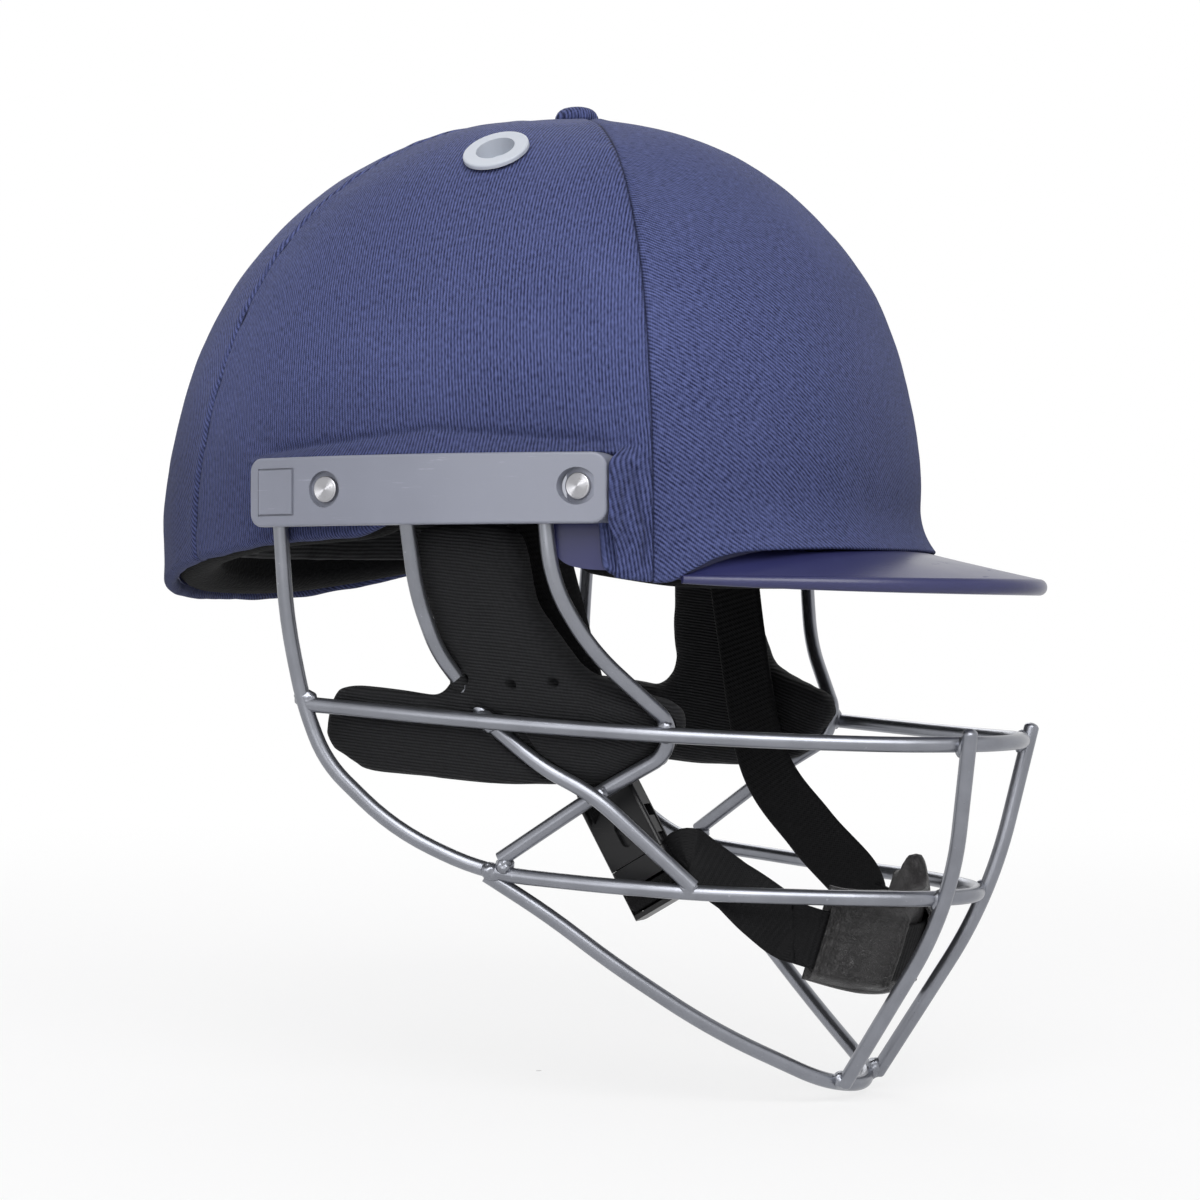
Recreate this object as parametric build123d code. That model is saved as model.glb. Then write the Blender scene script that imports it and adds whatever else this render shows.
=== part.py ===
from build123d import *
import math
import os

# Batting helmet with a bent wire face guard. Millimetres, +X forward, +Y the wearer's left, +Z up.
# The origin is the centre of the head opening at rim level, the helmet worn level.

# Dome: outside of the cloth cover
dome_length = 264.0
dome_width = 216.0
dome_height = 165.3
crown_forward = 6.7
plan_power = 2.3
height_power = 2.5
height_root = 2.28
crown_shift_power = 1.5
ring_points = 24
ring_degrees = (0, 12, 24, 36, 47, 57, 66, 74, 81, 86)
crown_disc_degrees = 88.2

# Layers, outside to inside
cover_thickness = 1.2
layer_gap = 0.3
shell_wall = 3.2
liner_thickness = 14.0
comfort_thickness = 6.0

# Side view of the rim, x as a share of half the dome length and z as a share of the dome height
rim_shares = [(-1.06, 0.012), (-0.97, 0.022), (-0.87, 0.045), (-0.73, 0.078), (-0.58, 0.097),
              (-0.33, 0.122), (-0.07, 0.134), (0.04, 0.165), (0.13, 0.195), (0.30, 0.195),
              (0.40, 0.150), (0.46, 0.070), (0.57, 0.052), (0.70, 0.036), (1.10, 0.036)]
hem_shares = [(-1.06, 0.012), (-0.97, 0.022), (-0.87, 0.045), (-0.73, 0.078), (-0.58, 0.097),
              (-0.33, 0.122), (-0.07, 0.134), (0.04, 0.165), (0.13, 0.195), (0.50, 0.195),
              (0.56, 0.140), (0.565, 0.062), (0.62, 0.044), (0.69, 0.039), (0.742, 0.074),
              (0.78, 0.097), (0.822, 0.108), (0.90, 0.113), (1.10, 0.118)]
liner_lip = 1.5

# Cover seams and crown button
front_seam_degrees = 50.5
rear_seam_degrees = 137.0
seam_gap = 0.3
button_x = 15.0
button_radius = 7.6
button_height = 5.2
button_edge = 1.8

# Vent eyelets
eyelet_x = 16.6
eyelet_drop = 19.1
eyelet_radius = 11.2
eyelet_flange = 1.6
eyelet_edge = 0.7
eyelet_bore = 6.6
eyelet_barrel_wall = 1.3
eyelet_depth = 5.6
eyelet_floor = 1.0

# Peak
peak_reach = 50.0
peak_end_overhang = 4.3
peak_thickness = 3.0
peak_lip = 5.4
peak_brow_z = 17.6
peak_side_z = 6.5
peak_lip_z = 3.8
peak_lip_side_z = 6.0
peak_end_degrees = 41.0
peak_brow_power = 6
peak_sections = 9
peak_root = 2.0

# Guard brackets on the dome sides
bracket_rear_x = -44.0
bracket_front_x = 78.0
bracket_mid_x = -2.0
bracket_bow = 200.0
bracket_bottom_z = 23.0
bracket_height = 22.0
bracket_corner = 4.5
bracket_edge = 0.8
bracket_plate = 3.6
bracket_wall = 3.0
bracket_stand_off = 10.5
badge_size = 14.0
badge_rise = 0.3
badge_groove = 0.6
badge_x = -33.0

# Bracket fasteners
screw_rear_x = -13.5
screw_front_x = 69.5
screw_z = 34.5
screw_radius = 2.25
screw_head_radius = 4.2
screw_head_height = 1.7
screw_head_edge = 0.5
counterbore_radius = 5.8
counterbore_depth = 2.0
screw_clearance = 0.3
nut_radius = 6.5
nut_height = 3.0
nut_pocket_clearance = 1.0

# Carrier strip behind each bracket
carrier_bottom_z = 30.0
carrier_height = 10.0
carrier_depth = 4.0
fit_gap = 0.3

# Guard wires: points are shares of reach (x), half width (y) and drop (z)
wire_radius = 2.5
bend_share = 0.45
guard_reach = 175.0
guard_side_inset = 10.0
guard_drop = 160.0
rear_leg_x = -36.0
middle_leg_x = 12.0
front_leg_x = 57.0
corner_share = (-0.194, 1.0, -0.212)
side_shares = [(-0.208, 1.065, -0.040), corner_share, (-0.155, 0.975, -0.330), (-0.040, 0.880, -0.465),
               (0.115, 0.765, -0.552), (0.340, 0.690, -0.572), (0.520, 0.590, -0.585),
               (0.730, 0.420, -0.592), (0.875, 0.222, -0.598), (0.922, 0.0, -0.600)]
top_shares = [corner_share, (0.070, 0.935, -0.236), (0.300, 0.825, -0.256), (0.500, 0.715, -0.270),
              (0.700, 0.555, -0.281), (0.860, 0.390, -0.287), (0.970, 0.225, -0.288), (1.0, 0.0, -0.288)]
jaw_shares = [(0.120, 0.765, -0.556), (0.225, 0.675, -0.638), (0.330, 0.585, -0.735), (0.490, 0.420, -0.870),
              (0.658, 0.190, -0.980), (0.698, 0.0, -1.0)]
upright_shares = [(0.968, 0.303, -0.266), (0.908, 0.187, -0.612), (0.690, 0.150, -0.985)]
front_wire_shares = [(0.335, 1.030, 0.030), (0.375, 0.900, -0.100), (0.475, 0.690, -0.245),
                     (0.460, 0.665, -0.310), (0.330, 0.700, -0.390), (0.150, 0.765, -0.524)]
cross_wire_shares = [(0.065, 1.050, 0.010), (0.076, 0.950, -0.105), (0.110, 0.870, -0.180),
                     (0.150, 0.850, -0.245), (0.240, 0.785, -0.335), (0.340, 0.750, -0.390),
                     (0.500, 0.610, -0.572)]

# Cheek pads: side outline in shares of reach and drop, thickness measured across the face
pad_thickness = 15.0
pad_edge = 4.5
pad_lean = 0.30
pad_level_share = -0.25
pad_wire_gap = 0.6
pad_outline_shares = [(0.045, 0.160), (0.055, -0.060), (0.085, -0.190), (-0.160, -0.175),
                      (-0.200, -0.300), (-0.110, -0.365), (0.150, -0.385), (0.350, -0.380),
                      (0.440, -0.350), (0.520, -0.230), (0.330, -0.130), (0.262, 0.0), (0.255, 0.160)]
pad_corner = 8.0
pad_rear_inset = 14.0
pad_mid_inset = 23.5
pad_front_inset = 46.0
pad_rear_share = -45 / 175
pad_mid_share = 26 / 175
pad_front_share = 102 / 175
pad_hole_radius = 1.6
pad_hole_depth = 4.0
pad_hole_shares = [(0.117, -0.160), (0.208, -0.170), (0.284, -0.166)]
pad_crease_shares = [(0.130, -0.200), (0.250, -0.370)]
pad_crease_width = 1.4
pad_crease_depth = 1.6

# Comfort pads in the dome
crown_pad_drop = 47.3
brow_pad_low_z = 12.0
brow_pad_high_z = 44.0
brow_pad_x = 72.0
rear_pad_low_z = 14.0
rear_pad_high_z = 56.0
rear_pad_x = -66.0
side_pad_low_z = 57.5
side_pad_high_z = 82.0
side_pad_half_length = 42.0

# Chin strap: webbing loop swinging on two anchor screws
web_width = 20.0
web_thickness = 1.5
anchor_x = 36.0
anchor_z = 46.0
anchor_tab_radius = 9.0
anchor_tab_thickness = 1.8
anchor_screw_radius = 2.0
anchor_head_radius = 4.2
anchor_head_height = 1.4
anchor_running_gap = 0.05
anchor_screw_length = 14.0
web_start_drop = 8.0
web_seam_gap = 0.5
web_lead = 5.0

# Buckle on the right-hand strap, seen from the side: its axis leans forward and down
buckle_side_share = 51 / 98
buckle_reach_share = 0.3
buckle_drop_share = -0.3875
buckle_lean_degrees = 30.0
buckle_width = 21.0
buckle_thickness = 8.0
buckle_wall = 1.6
socket_length = 25.0
plug_length = 17.0
plug_tongue = 14.0
latch_window_length = 9.0
latch_length = 13.0
latch_pad_length = 6.0
latch_arm_width = 2.6
latch_root_radius = 1.6
latch_root_wall = 0.8
latch_travel_gap = 0.6
web_socket_depth = 5.0
web_slot_height = 3.0
web_slot_gap = 0.8
buckle_gap = 0.3
bar_radius = 1.1
buckle_edge = 1.2

# Chin cup: a curved pad riding on the web around the chin, leaning with the guard's front
cup_setback = 72.0
cup_drop_share = -0.65
cup_lean_degrees = 18.0
cup_radius = 36.0
cup_half_degrees = 64.0
cup_height = 40.0
cup_skin = 1.6
cup_pad = 5.0
cup_pad_inset = 2.0
cup_edge = 1.8
cup_loop_inner_degrees = 10.0
cup_loop_outer_degrees = 60.0
cup_loop_height = 34.0
cup_loop_wall = 1.6
web_gap = 0.35
web_loop_degrees = 74.0

# Webbing routes: points are shares of reach (x), half width (y) and drop (z)
strap_left_shares = [(0.275, 0.660, -0.075), (0.365, 0.500, -0.350), (0.480, 0.450, -0.500),
                     (0.585, 0.400, -0.600)]
strap_front_shares = [(0.540, 0.455, -0.565), (0.615, 0.400, -0.608)]

cut_overrun = 60.0

half_length = dome_length / 2
half_width = dome_width / 2
eyelet_z = dome_height - eyelet_drop
crown_pad_z = dome_height - crown_pad_drop
guard_half_width = half_width - guard_side_inset
pad_level_z = guard_drop * pad_level_share
pad_rear_y = half_width - pad_rear_inset
pad_mid_y = half_width - pad_mid_inset
pad_front_y = half_width - pad_front_inset
pad_band_rear_x = guard_reach * pad_rear_share
pad_band_mid_x = guard_reach * pad_mid_share
pad_band_front_x = guard_reach * pad_front_share
buckle_y = -guard_half_width * buckle_side_share
buckle_top_x = guard_reach * buckle_reach_share
buckle_top_z = guard_drop * buckle_drop_share
cup_centre_x = guard_reach - cup_setback
cup_centre_z = guard_drop * cup_drop_share
cover_inner = cover_thickness
shell_outer = cover_inner + layer_gap
shell_inner = shell_outer + shell_wall
liner_outer = shell_inner + layer_gap
liner_inner = liner_outer + liner_thickness
comfort_outer = liner_inner + layer_gap
comfort_inner = comfort_outer + comfort_thickness


def signed_power(value, power):
    return math.copysign(abs(value) ** power, value)


def dome_scale(z, offset):
    share = min(max(z, 0) / (dome_height - offset), 1)
    return (1 - share ** height_power) ** (1 / height_root)


def dome_centre(z):
    return crown_forward * (max(z, 0) / dome_height) ** crown_shift_power


def dome_point(degrees, z, offset):
    """Point of the dome surface moved inwards by offset, at a plan parameter and height."""
    a = math.radians(degrees)
    scale = dome_scale(z, offset)
    x = dome_centre(z) + (half_length - offset) * scale * signed_power(math.cos(a), 2 / plan_power)
    y = (half_width - offset) * scale * signed_power(math.sin(a), 2 / plan_power)
    return (x, y, z)


def dome_half_width_at(x, z, offset):
    scale = dome_scale(z, offset)
    share = abs(x - dome_centre(z)) / ((half_length - offset) * scale)
    return (half_width - offset) * scale * (1 - share ** plan_power) ** (1 / plan_power)


def dome_height_at(x, y):
    """Height of the outer surface over a plan point, by bisection."""
    low, high = 0, dome_height
    for _ in range(50):
        z = (low + high) / 2
        share = abs((x - dome_centre(z)) / half_length) ** plan_power + abs(y / half_width) ** plan_power
        if share ** (1 / plan_power) < dome_scale(z, 0):
            low = z
        else:
            high = z
    return low


def dome_section(z, offset):
    step = 360 / ring_points
    points = [dome_point(i * step, z, offset) for i in range(ring_points)]
    return make_face(Spline(points, periodic=True))


def dome(offset):
    """Solid dome whose surface lies offset inside the cover's outer face."""
    height = dome_height - offset
    rings = [dome_section(height * math.sin(math.radians(d)), offset) for d in ring_degrees]
    rings.append(dome_section(height * math.sin(math.radians(crown_disc_degrees)), offset))
    return loft(rings)


def below_rim(shares, drop):
    """Everything under a side-view rim line, lowered by drop."""
    line = [(x * half_length, z * dome_height - drop) for x, z in shares]
    curve = Spline([(x, 0, z) for x, z in line])
    low = -cut_overrun
    start, end = line[0], line[-1]
    base = Polyline((end[0], 0, end[1]), (end[0], 0, low), (start[0], 0, low), (start[0], 0, start[1]))
    return extrude(make_face(curve + base), amount=dome_width, dir=(0, 1, 0), both=True)


def layer(outer, inner, shares, drop=0):
    return dome(outer) - dome(inner) - below_rim(shares, drop)


def wedge(from_degrees, to_degrees):
    """Upright wedge about the button axis, inset by half the seam gap on both faces."""
    reach = 2 * dome_length
    middle = math.radians((from_degrees + to_degrees) / 2)
    half = math.radians((to_degrees - from_degrees) / 2)
    shift = seam_gap / 2 / math.sin(half)
    apex = (button_x + shift * math.cos(middle), shift * math.sin(middle))
    steps = 4
    rim = []
    for i in range(steps + 1):
        a = middle - half + 2 * half * i / steps
        rim.append((apex[0] + reach * math.cos(a), apex[1] + reach * math.sin(a)))
    return extrude(make_face(Polyline([apex] + rim, close=True)), amount=2 * dome_height)


def mirrored(solid):
    return mirror(solid, about=Plane.XZ)


def eyelet_frame(side):
    """Plane on the dome at an eyelet, its Z along the outward normal."""
    y = dome_half_width_at(eyelet_x, eyelet_z, 0)
    step = eyelet_radius / 4
    along_x = Vector(2 * step, 0, dome_height_at(eyelet_x + step, y) - dome_height_at(eyelet_x - step, y))
    along_y = Vector(0, 2 * step, dome_height_at(eyelet_x, y + step) - dome_height_at(eyelet_x, y - step))
    normal = along_x.cross(along_y).normalized()
    return Plane(origin=(eyelet_x, side * y, eyelet_z), z_dir=(normal.X, side * normal.Y, normal.Z))


def eyelet(side):
    """Moulded grommet: rounded flange on the cover, barrel and closed floor."""
    barrel = eyelet_bore + eyelet_barrel_wall
    ring = fillet(Cylinder(eyelet_radius, eyelet_flange, align=(Align.CENTER, Align.CENTER, Align.MIN))
                  .edges().group_by(Axis.Z)[-1], eyelet_edge)
    body = ring + Pos(0, 0, -eyelet_depth) * Cylinder(
        barrel, eyelet_depth, align=(Align.CENTER, Align.CENTER, Align.MIN))
    bore_depth = eyelet_depth - eyelet_floor + eyelet_flange
    bore = Pos(0, 0, -eyelet_depth + eyelet_floor) * Cylinder(
        eyelet_bore, bore_depth, align=(Align.CENTER, Align.CENTER, Align.MIN))
    return eyelet_frame(side) * Pos(0, 0, eyelet_lift()) * (body - bore)


def eyelet_lift():
    """The flange clears the bulge of the cover under it."""
    return layer_gap + eyelet_radius ** 2 / dome_height / 2


def eyelet_hole(side):
    radius = eyelet_bore + eyelet_barrel_wall + layer_gap
    depth = eyelet_depth + layer_gap
    return eyelet_frame(side) * Pos(0, 0, eyelet_lift() - depth) * Cylinder(
        radius, depth + cut_overrun, align=(Align.CENTER, Align.CENTER, Align.MIN))


def bracket_face(x):
    """Outer face of the bracket, as a distance from the mid plane."""
    crest = half_width + bracket_stand_off
    return crest - (bracket_bow - math.sqrt(bracket_bow ** 2 - (x - bracket_mid_x) ** 2))


def bracket_arc(inset, x0, x1):
    mid = (x0 + x1) / 2
    return ThreePointArc(*[(x, -bracket_face(x) + inset, 0) for x in (x0, mid, x1)])


def bracket_band(inset, depth, x0, x1, z0, height):
    """Upright slab that follows the bracket's bow, from inset behind its face."""
    outer = bracket_arc(inset, x0, x1)
    inner = bracket_arc(inset + depth, x0, x1)
    ends = Line(outer @ 0, inner @ 0) + Line(outer @ 1, inner @ 1)
    return Pos(0, 0, z0) * extrude(make_face(outer + inner + ends), amount=height)


def y_rod(x, z, radius, y0, y1):
    """Rod across the width from y0 to y1 on the right-hand side (negative y)."""
    low, high = min(y0, y1), max(y0, y1)
    rod = Cylinder(radius, high - low, align=(Align.CENTER, Align.CENTER, Align.MIN))
    return Pos(x, high, z) * Rot(90, 0, 0) * rod


def screw_places():
    return [(screw_rear_x, screw_z), (screw_front_x, screw_z)]


def badge_plane():
    slope = math.asin((badge_x - bracket_mid_x) / bracket_bow)
    normal = (math.sin(slope), -math.cos(slope), 0)
    z = bracket_bottom_z + bracket_height / 2
    return Plane(origin=(badge_x, -bracket_face(badge_x), z), x_dir=(math.cos(slope), math.sin(slope), 0),
                 z_dir=normal)


def bracket_body():
    """Moulded clamp block: bowed face plate, walls down to the dome, and a pocket for the carrier."""
    reach = bracket_face(bracket_mid_x) - dome_half_width_at(bracket_front_x, screw_z, 0) + bracket_plate
    block = bracket_band(0, reach, bracket_rear_x, bracket_front_x, bracket_bottom_z, bracket_height)
    top_z = bracket_bottom_z + bracket_height
    rounded = RectangleRounded(bracket_front_x - bracket_rear_x, bracket_height, bracket_corner)
    middle = (bracket_front_x + bracket_rear_x) / 2
    profile = Plane(origin=(middle, 0, (bracket_bottom_z + top_z) / 2), x_dir=(1, 0, 0),
                    z_dir=(0, -1, 0)) * rounded
    block = block & extrude(profile, amount=dome_width)
    pocket = bracket_band(bracket_plate, reach, bracket_rear_x + bracket_wall, bracket_front_x - bracket_wall,
                          bracket_bottom_z - bracket_wall, bracket_height)
    block = block - pocket - dome(-layer_gap)
    face_edges = block.edges().filter_by(lambda e: on_bracket_face(e))
    block = fillet(face_edges, bracket_edge)
    for x, z in screw_places():
        y = -bracket_face(x)
        block = block - y_rod(x, z, counterbore_radius, y - cut_overrun, y + counterbore_depth)
        block = block - y_rod(x, z, screw_radius + screw_clearance, y, y + reach)
    land = badge_plane() * Pos(0, 0, -badge_rise) * Box(
        badge_size, badge_size, 2 * badge_rise, align=(Align.CENTER, Align.CENTER, Align.MIN))
    frame_size = badge_size + 2 * badge_groove
    frame = badge_plane() * Pos(0, 0, -badge_groove) * Box(
        frame_size, frame_size, 3 * badge_groove, align=(Align.CENTER, Align.CENTER, Align.MIN))
    core = badge_plane() * Pos(0, 0, -2 * badge_groove) * Box(
        badge_size, badge_size, 6 * badge_groove, align=(Align.CENTER, Align.CENTER, Align.MIN))
    return block - (frame - core) + land


def on_bracket_face(edge):
    """True for edges whose ends and middle all lie on the bowed outer face."""
    points = [edge @ 0, edge @ 0.5, edge @ 1]
    return all(abs(-p.Y - bracket_face(p.X)) < bracket_edge / 20 for p in points)


def carrier():
    """Steel strip in the bracket pocket that the guard legs are welded to."""
    x0 = bracket_rear_x + bracket_wall + fit_gap
    x1 = bracket_front_x - bracket_wall - fit_gap
    strip = bracket_band(bracket_plate + fit_gap, carrier_depth, x0, x1, carrier_bottom_z, carrier_height)
    for x, z in screw_places():
        y = -bracket_face(x)
        strip = strip - y_rod(x, z, screw_radius + screw_clearance, y, y + cut_overrun)
    return strip


def shell_inner_y(x, z):
    return -dome_half_width_at(x, z, shell_inner)


def nut_seat_y(x, z):
    """The nut flange touches the curved shell wall at its edge nearest the mid plane."""
    return max(shell_inner_y(x - nut_radius, z), shell_inner_y(x + nut_radius, z)) + layer_gap


def screw(x, z):
    y = -bracket_face(x) + counterbore_depth
    head = fillet(y_rod(x, z, screw_head_radius, y - screw_head_height, y).edges().sort_by(Axis.Y)[0],
                  screw_head_edge)
    return head + y_rod(x, z, screw_radius, y, nut_seat_y(x, z) + nut_height)


def nut(x, z):
    y = nut_seat_y(x, z)
    return y_rod(x, z, nut_radius, y, y + nut_height) - y_rod(x, z, screw_radius, y, y + nut_height)


def nut_pocket(x, z):
    y = nut_seat_y(x, z) + nut_height + nut_pocket_clearance
    return y_rod(x, z, nut_radius + nut_pocket_clearance, -half_width, y)


def screw_holes():
    """Clearance holes through the cover and shell, right-hand side."""
    holes = Part()
    for x, z in screw_places():
        holes = holes + y_rod(x, z, screw_radius + screw_clearance, -bracket_face(x), -half_width / 2)
    return holes


def guard_points(shares, side=-1):
    return [(x * guard_reach, side * y * guard_half_width, z * guard_drop) for x, y, z in shares]


def leg_top(x):
    """Top of a guard leg, butted under the carrier strip behind the bracket plate."""
    return (x, -bracket_face(x) + bracket_plate + fit_gap + wire_radius, carrier_bottom_z)


def bend_radii(points):
    """Bend radius at each inner point: the largest arc that its two runs allow."""
    radii = []
    for a, b, c in zip(points, points[1:], points[2:]):
        run_in = Vector(b) - Vector(a)
        run_out = Vector(c) - Vector(b)
        turn = math.radians(max(run_in.get_angle(run_out), 1))
        radii.append(bend_share * min(run_in.length, run_out.length) / math.tan(turn / 2))
    return radii


def wire(points, radius=wire_radius):
    """Round wire along straight runs joined by tangent arcs."""
    path = FilletPolyline(*points, radius=bend_radii(points))
    start = Plane(origin=path @ 0, z_dir=path % 0)
    return sweep(start * Circle(radius), path=path)


def both_sides(right_points):
    """A path from the right-hand end, over its last point on the mid plane, to the left-hand end."""
    left = [(x, -y, z) for x, y, z in reversed(right_points[:-1])]
    return right_points + left


def middle_bar_points():
    return both_sides([leg_top(rear_leg_x)] + guard_points(side_shares))


def top_bar_points():
    return both_sides(guard_points(top_shares))


def jaw_points():
    return both_sides(guard_points(jaw_shares))


def front_wire_points():
    return [leg_top(front_leg_x)] + guard_points(front_wire_shares)


def cross_wire_points():
    return [leg_top(middle_leg_x)] + guard_points(cross_wire_shares)


def pad_slab(from_depth, to_depth):
    """Leaning curved slab between two depths behind the cheek pad's outer face, right-hand side."""
    def arc(inset):
        places = [(pad_band_rear_x, pad_rear_y), (pad_band_mid_x, pad_mid_y), (pad_band_front_x, pad_front_y)]
        return ThreePointArc(*[(x, -(y - inset), 0) for x, y in places])

    outer = arc(from_depth)
    inner = arc(to_depth)
    ends = Line(outer @ 0, inner @ 0) + Line(outer @ 1, inner @ 1)
    plan = make_face(outer + inner + ends)
    half_rise = guard_drop / 2
    lean = Vector(0, -pad_lean, 1)
    slab = extrude(plan, amount=half_rise * lean.length, dir=lean, both=True)
    return Pos(0, 0, pad_level_z) * slab


def cheek_pad():
    """Foam cheek pad: strap behind the bracket and a band along the jaw, grooved where wires press in."""
    points = [(x * guard_reach, 0, z * guard_drop) for x, z in pad_outline_shares]
    outline = FilletPolyline(*points, radius=pad_corner, close=True)
    prism = extrude(make_face(outline), amount=dome_width, dir=(0, -1, 0))
    pad = pad_slab(0, pad_thickness) & prism
    faces = pad.faces().sort_by(SortBy.AREA)[-2:]
    pad = fillet(faces[0].edges() + faces[1].edges(), pad_edge)
    groove_radius = wire_radius + pad_wire_gap
    grooves = wire(front_wire_points(), groove_radius) + wire(cross_wire_points(), groove_radius)
    pad = pad - grooves - wire(top_bar_points(), groove_radius)
    for x, z in pad_hole_shares:
        place = (x * guard_reach, z * guard_drop)
        pad = pad - y_rod(*place, pad_hole_radius, -dome_width, -pad_face_y(*place) + pad_hole_depth)
    return pad - (pad_slab(0, pad_crease_depth) & crease_prism())


def pad_face_y(x, z):
    """Distance of the pad's outer face from the mid plane, near the middle of the band."""
    slope = (pad_mid_y - pad_front_y) / (pad_band_front_x - pad_band_mid_x)
    if x < pad_band_mid_x:
        slope = (pad_rear_y - pad_mid_y) / (pad_band_mid_x - pad_band_rear_x)
    return pad_mid_y - (x - pad_band_mid_x) * slope + pad_lean * (z - pad_level_z)


def crease_prism():
    (x0, z0), (x1, z1) = [(x * guard_reach, z * guard_drop) for x, z in pad_crease_shares]
    length = math.hypot(x1 - x0, z1 - z0)
    tilt = math.degrees(math.atan2(z0 - z1, x1 - x0))
    bar = Box(length, 2 * dome_width, pad_crease_width)
    return Pos((x0 + x1) / 2, 0, (z0 + z1) / 2) * Rot(0, tilt, 0) * bar


def dome_radius(degrees, offset):
    """Plan radius of the dome's rim in a true direction from its centre."""
    a = math.radians(degrees)
    along = abs(math.cos(a)) / (half_length - offset)
    across = abs(math.sin(a)) / (half_width - offset)
    return (along ** plan_power + across ** plan_power) ** (-1 / plan_power)


def peak_root_radius(degrees):
    return dome_radius(degrees, shell_outer) - peak_root


def peak_radius(degrees):
    """Plan radius of the peak's lip: an ellipse that clears its root by the overhang at both ends."""
    length = half_length + peak_reach
    end = math.radians(peak_end_degrees)
    end_radius = peak_root_radius(peak_end_degrees) + peak_end_overhang
    width = math.sin(end) / math.sqrt(1 / end_radius ** 2 - (math.cos(end) / length) ** 2)
    a = math.radians(degrees)
    return 1 / math.hypot(math.cos(a) / length, math.sin(a) / width)


def peak_section(degrees):
    """Radial section: flat plate from the shell, ending in a thick rounded lip."""
    side_share = abs(degrees) / peak_end_degrees
    root = peak_root_radius(degrees)
    tip = peak_radius(degrees)
    brow_z = peak_brow_z - (peak_brow_z - peak_side_z) * side_share ** peak_brow_power
    lip_z = peak_lip_z + (peak_lip_side_z - peak_lip_z) * side_share ** 2
    half_lip = peak_lip / 2 * (1 - side_share ** 2 / 2)
    bend = tip - half_lip
    top = Line((root, brow_z), (bend, lip_z + half_lip))
    lip = ThreePointArc((bend, lip_z + half_lip), (tip, lip_z), (bend, lip_z - half_lip))
    plate = peak_thickness * (1 - side_share ** peak_brow_power / 2)
    under = Line((bend, lip_z - half_lip), (root, brow_z - plate))
    back = Line((root, brow_z - plate), (root, brow_z))
    a = math.radians(degrees)
    radial = Plane(origin=(0, 0, 0), x_dir=(math.cos(a), math.sin(a), 0), z_dir=(math.sin(a), -math.cos(a), 0))
    return radial * make_face(top + lip + under + back)


def peak():
    step = 2 * peak_end_degrees / (peak_sections - 1)
    sections = [peak_section(-peak_end_degrees + i * step) for i in range(peak_sections)]
    return loft(sections) - dome(shell_outer - layer_gap)


def button():
    cap = Cylinder(button_radius, button_height, align=(Align.CENTER, Align.CENTER, Align.MIN))
    cap = fillet(cap.edges().group_by(Axis.Z)[-1], button_edge)
    return Pos(button_x, 0, dome_height + layer_gap) * cap


def comfort_layer():
    return dome(comfort_outer) - dome(comfort_inner)


def slice_box(low, high):
    """Box between two corners."""
    size = [b - a for a, b in zip(low, high)]
    return Pos(*low) * Box(*size, align=(Align.MIN, Align.MIN, Align.MIN))


def anchor_tab_y():
    """Outer face of the anchor tab, clear of the curved liner all over its disc."""
    y = dome_half_width_at(anchor_x + anchor_tab_radius, anchor_z + anchor_tab_radius, liner_inner)
    return y - fit_gap


def anchor_tab():
    y = -anchor_tab_y()
    tab = y_rod(anchor_x, anchor_z, anchor_tab_radius, y, y + anchor_tab_thickness)
    return tab - y_rod(anchor_x, anchor_z, anchor_screw_radius + anchor_running_gap, y, y + anchor_tab_thickness)


def anchor_screw():
    y = -anchor_tab_y() + anchor_tab_thickness + fit_gap
    head = y_rod(anchor_x, anchor_z, anchor_head_radius, y, y + anchor_head_height)
    shank = y_rod(anchor_x, anchor_z, anchor_screw_radius, y, y - anchor_screw_length)
    return head + shank


def anchor_hole():
    radius = anchor_screw_radius + screw_clearance
    y = -anchor_tab_y() + anchor_tab_thickness
    return y_rod(anchor_x, anchor_z, radius, y, y - anchor_screw_length - fit_gap)


def ribbon(stations, width, thickness):
    """Flat web lofted through stations of (place, width direction)."""
    places = [Vector(p) for p, _ in stations]
    sections = []
    for i, (place, across) in enumerate(stations):
        before = places[max(i - 1, 0)]
        after = places[min(i + 1, len(places) - 1)]
        along = (after - before).normalized()
        across = Vector(across)
        across = (across - along * across.dot(along)).normalized()
        plane = Plane(origin=place, x_dir=across, z_dir=along)
        sections.append(plane * Rectangle(width, thickness))
    return loft(sections, ruled=True)


def web_top(side):
    """First station of a strap, sewn to the inner face of its anchor tab."""
    y = anchor_tab_y() - anchor_tab_thickness - web_thickness / 2 - web_seam_gap
    return (anchor_x, side * y, anchor_z - web_start_drop)


def buckle_plane():
    """Frame at the top of the buckle: Z runs down its axis, X across to the front, Y out of its outer face."""
    a = math.radians(buckle_lean_degrees)
    return Plane(origin=(buckle_top_x, buckle_y, buckle_top_z), x_dir=(math.cos(a), 0, math.sin(a)),
                 z_dir=(math.sin(a), 0, -math.cos(a)))


def buckle_box(x0, x1, y0, y1, z0, z1):
    return slice_box((x0, y0, z0), (x1, y1, z1))


def rounded_block(width, thickness, z0, z1):
    block = buckle_box(-width / 2, width / 2, -thickness / 2, thickness / 2, z0, z1)
    return fillet(block.edges().filter_by(Axis.Z), buckle_edge)


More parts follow.
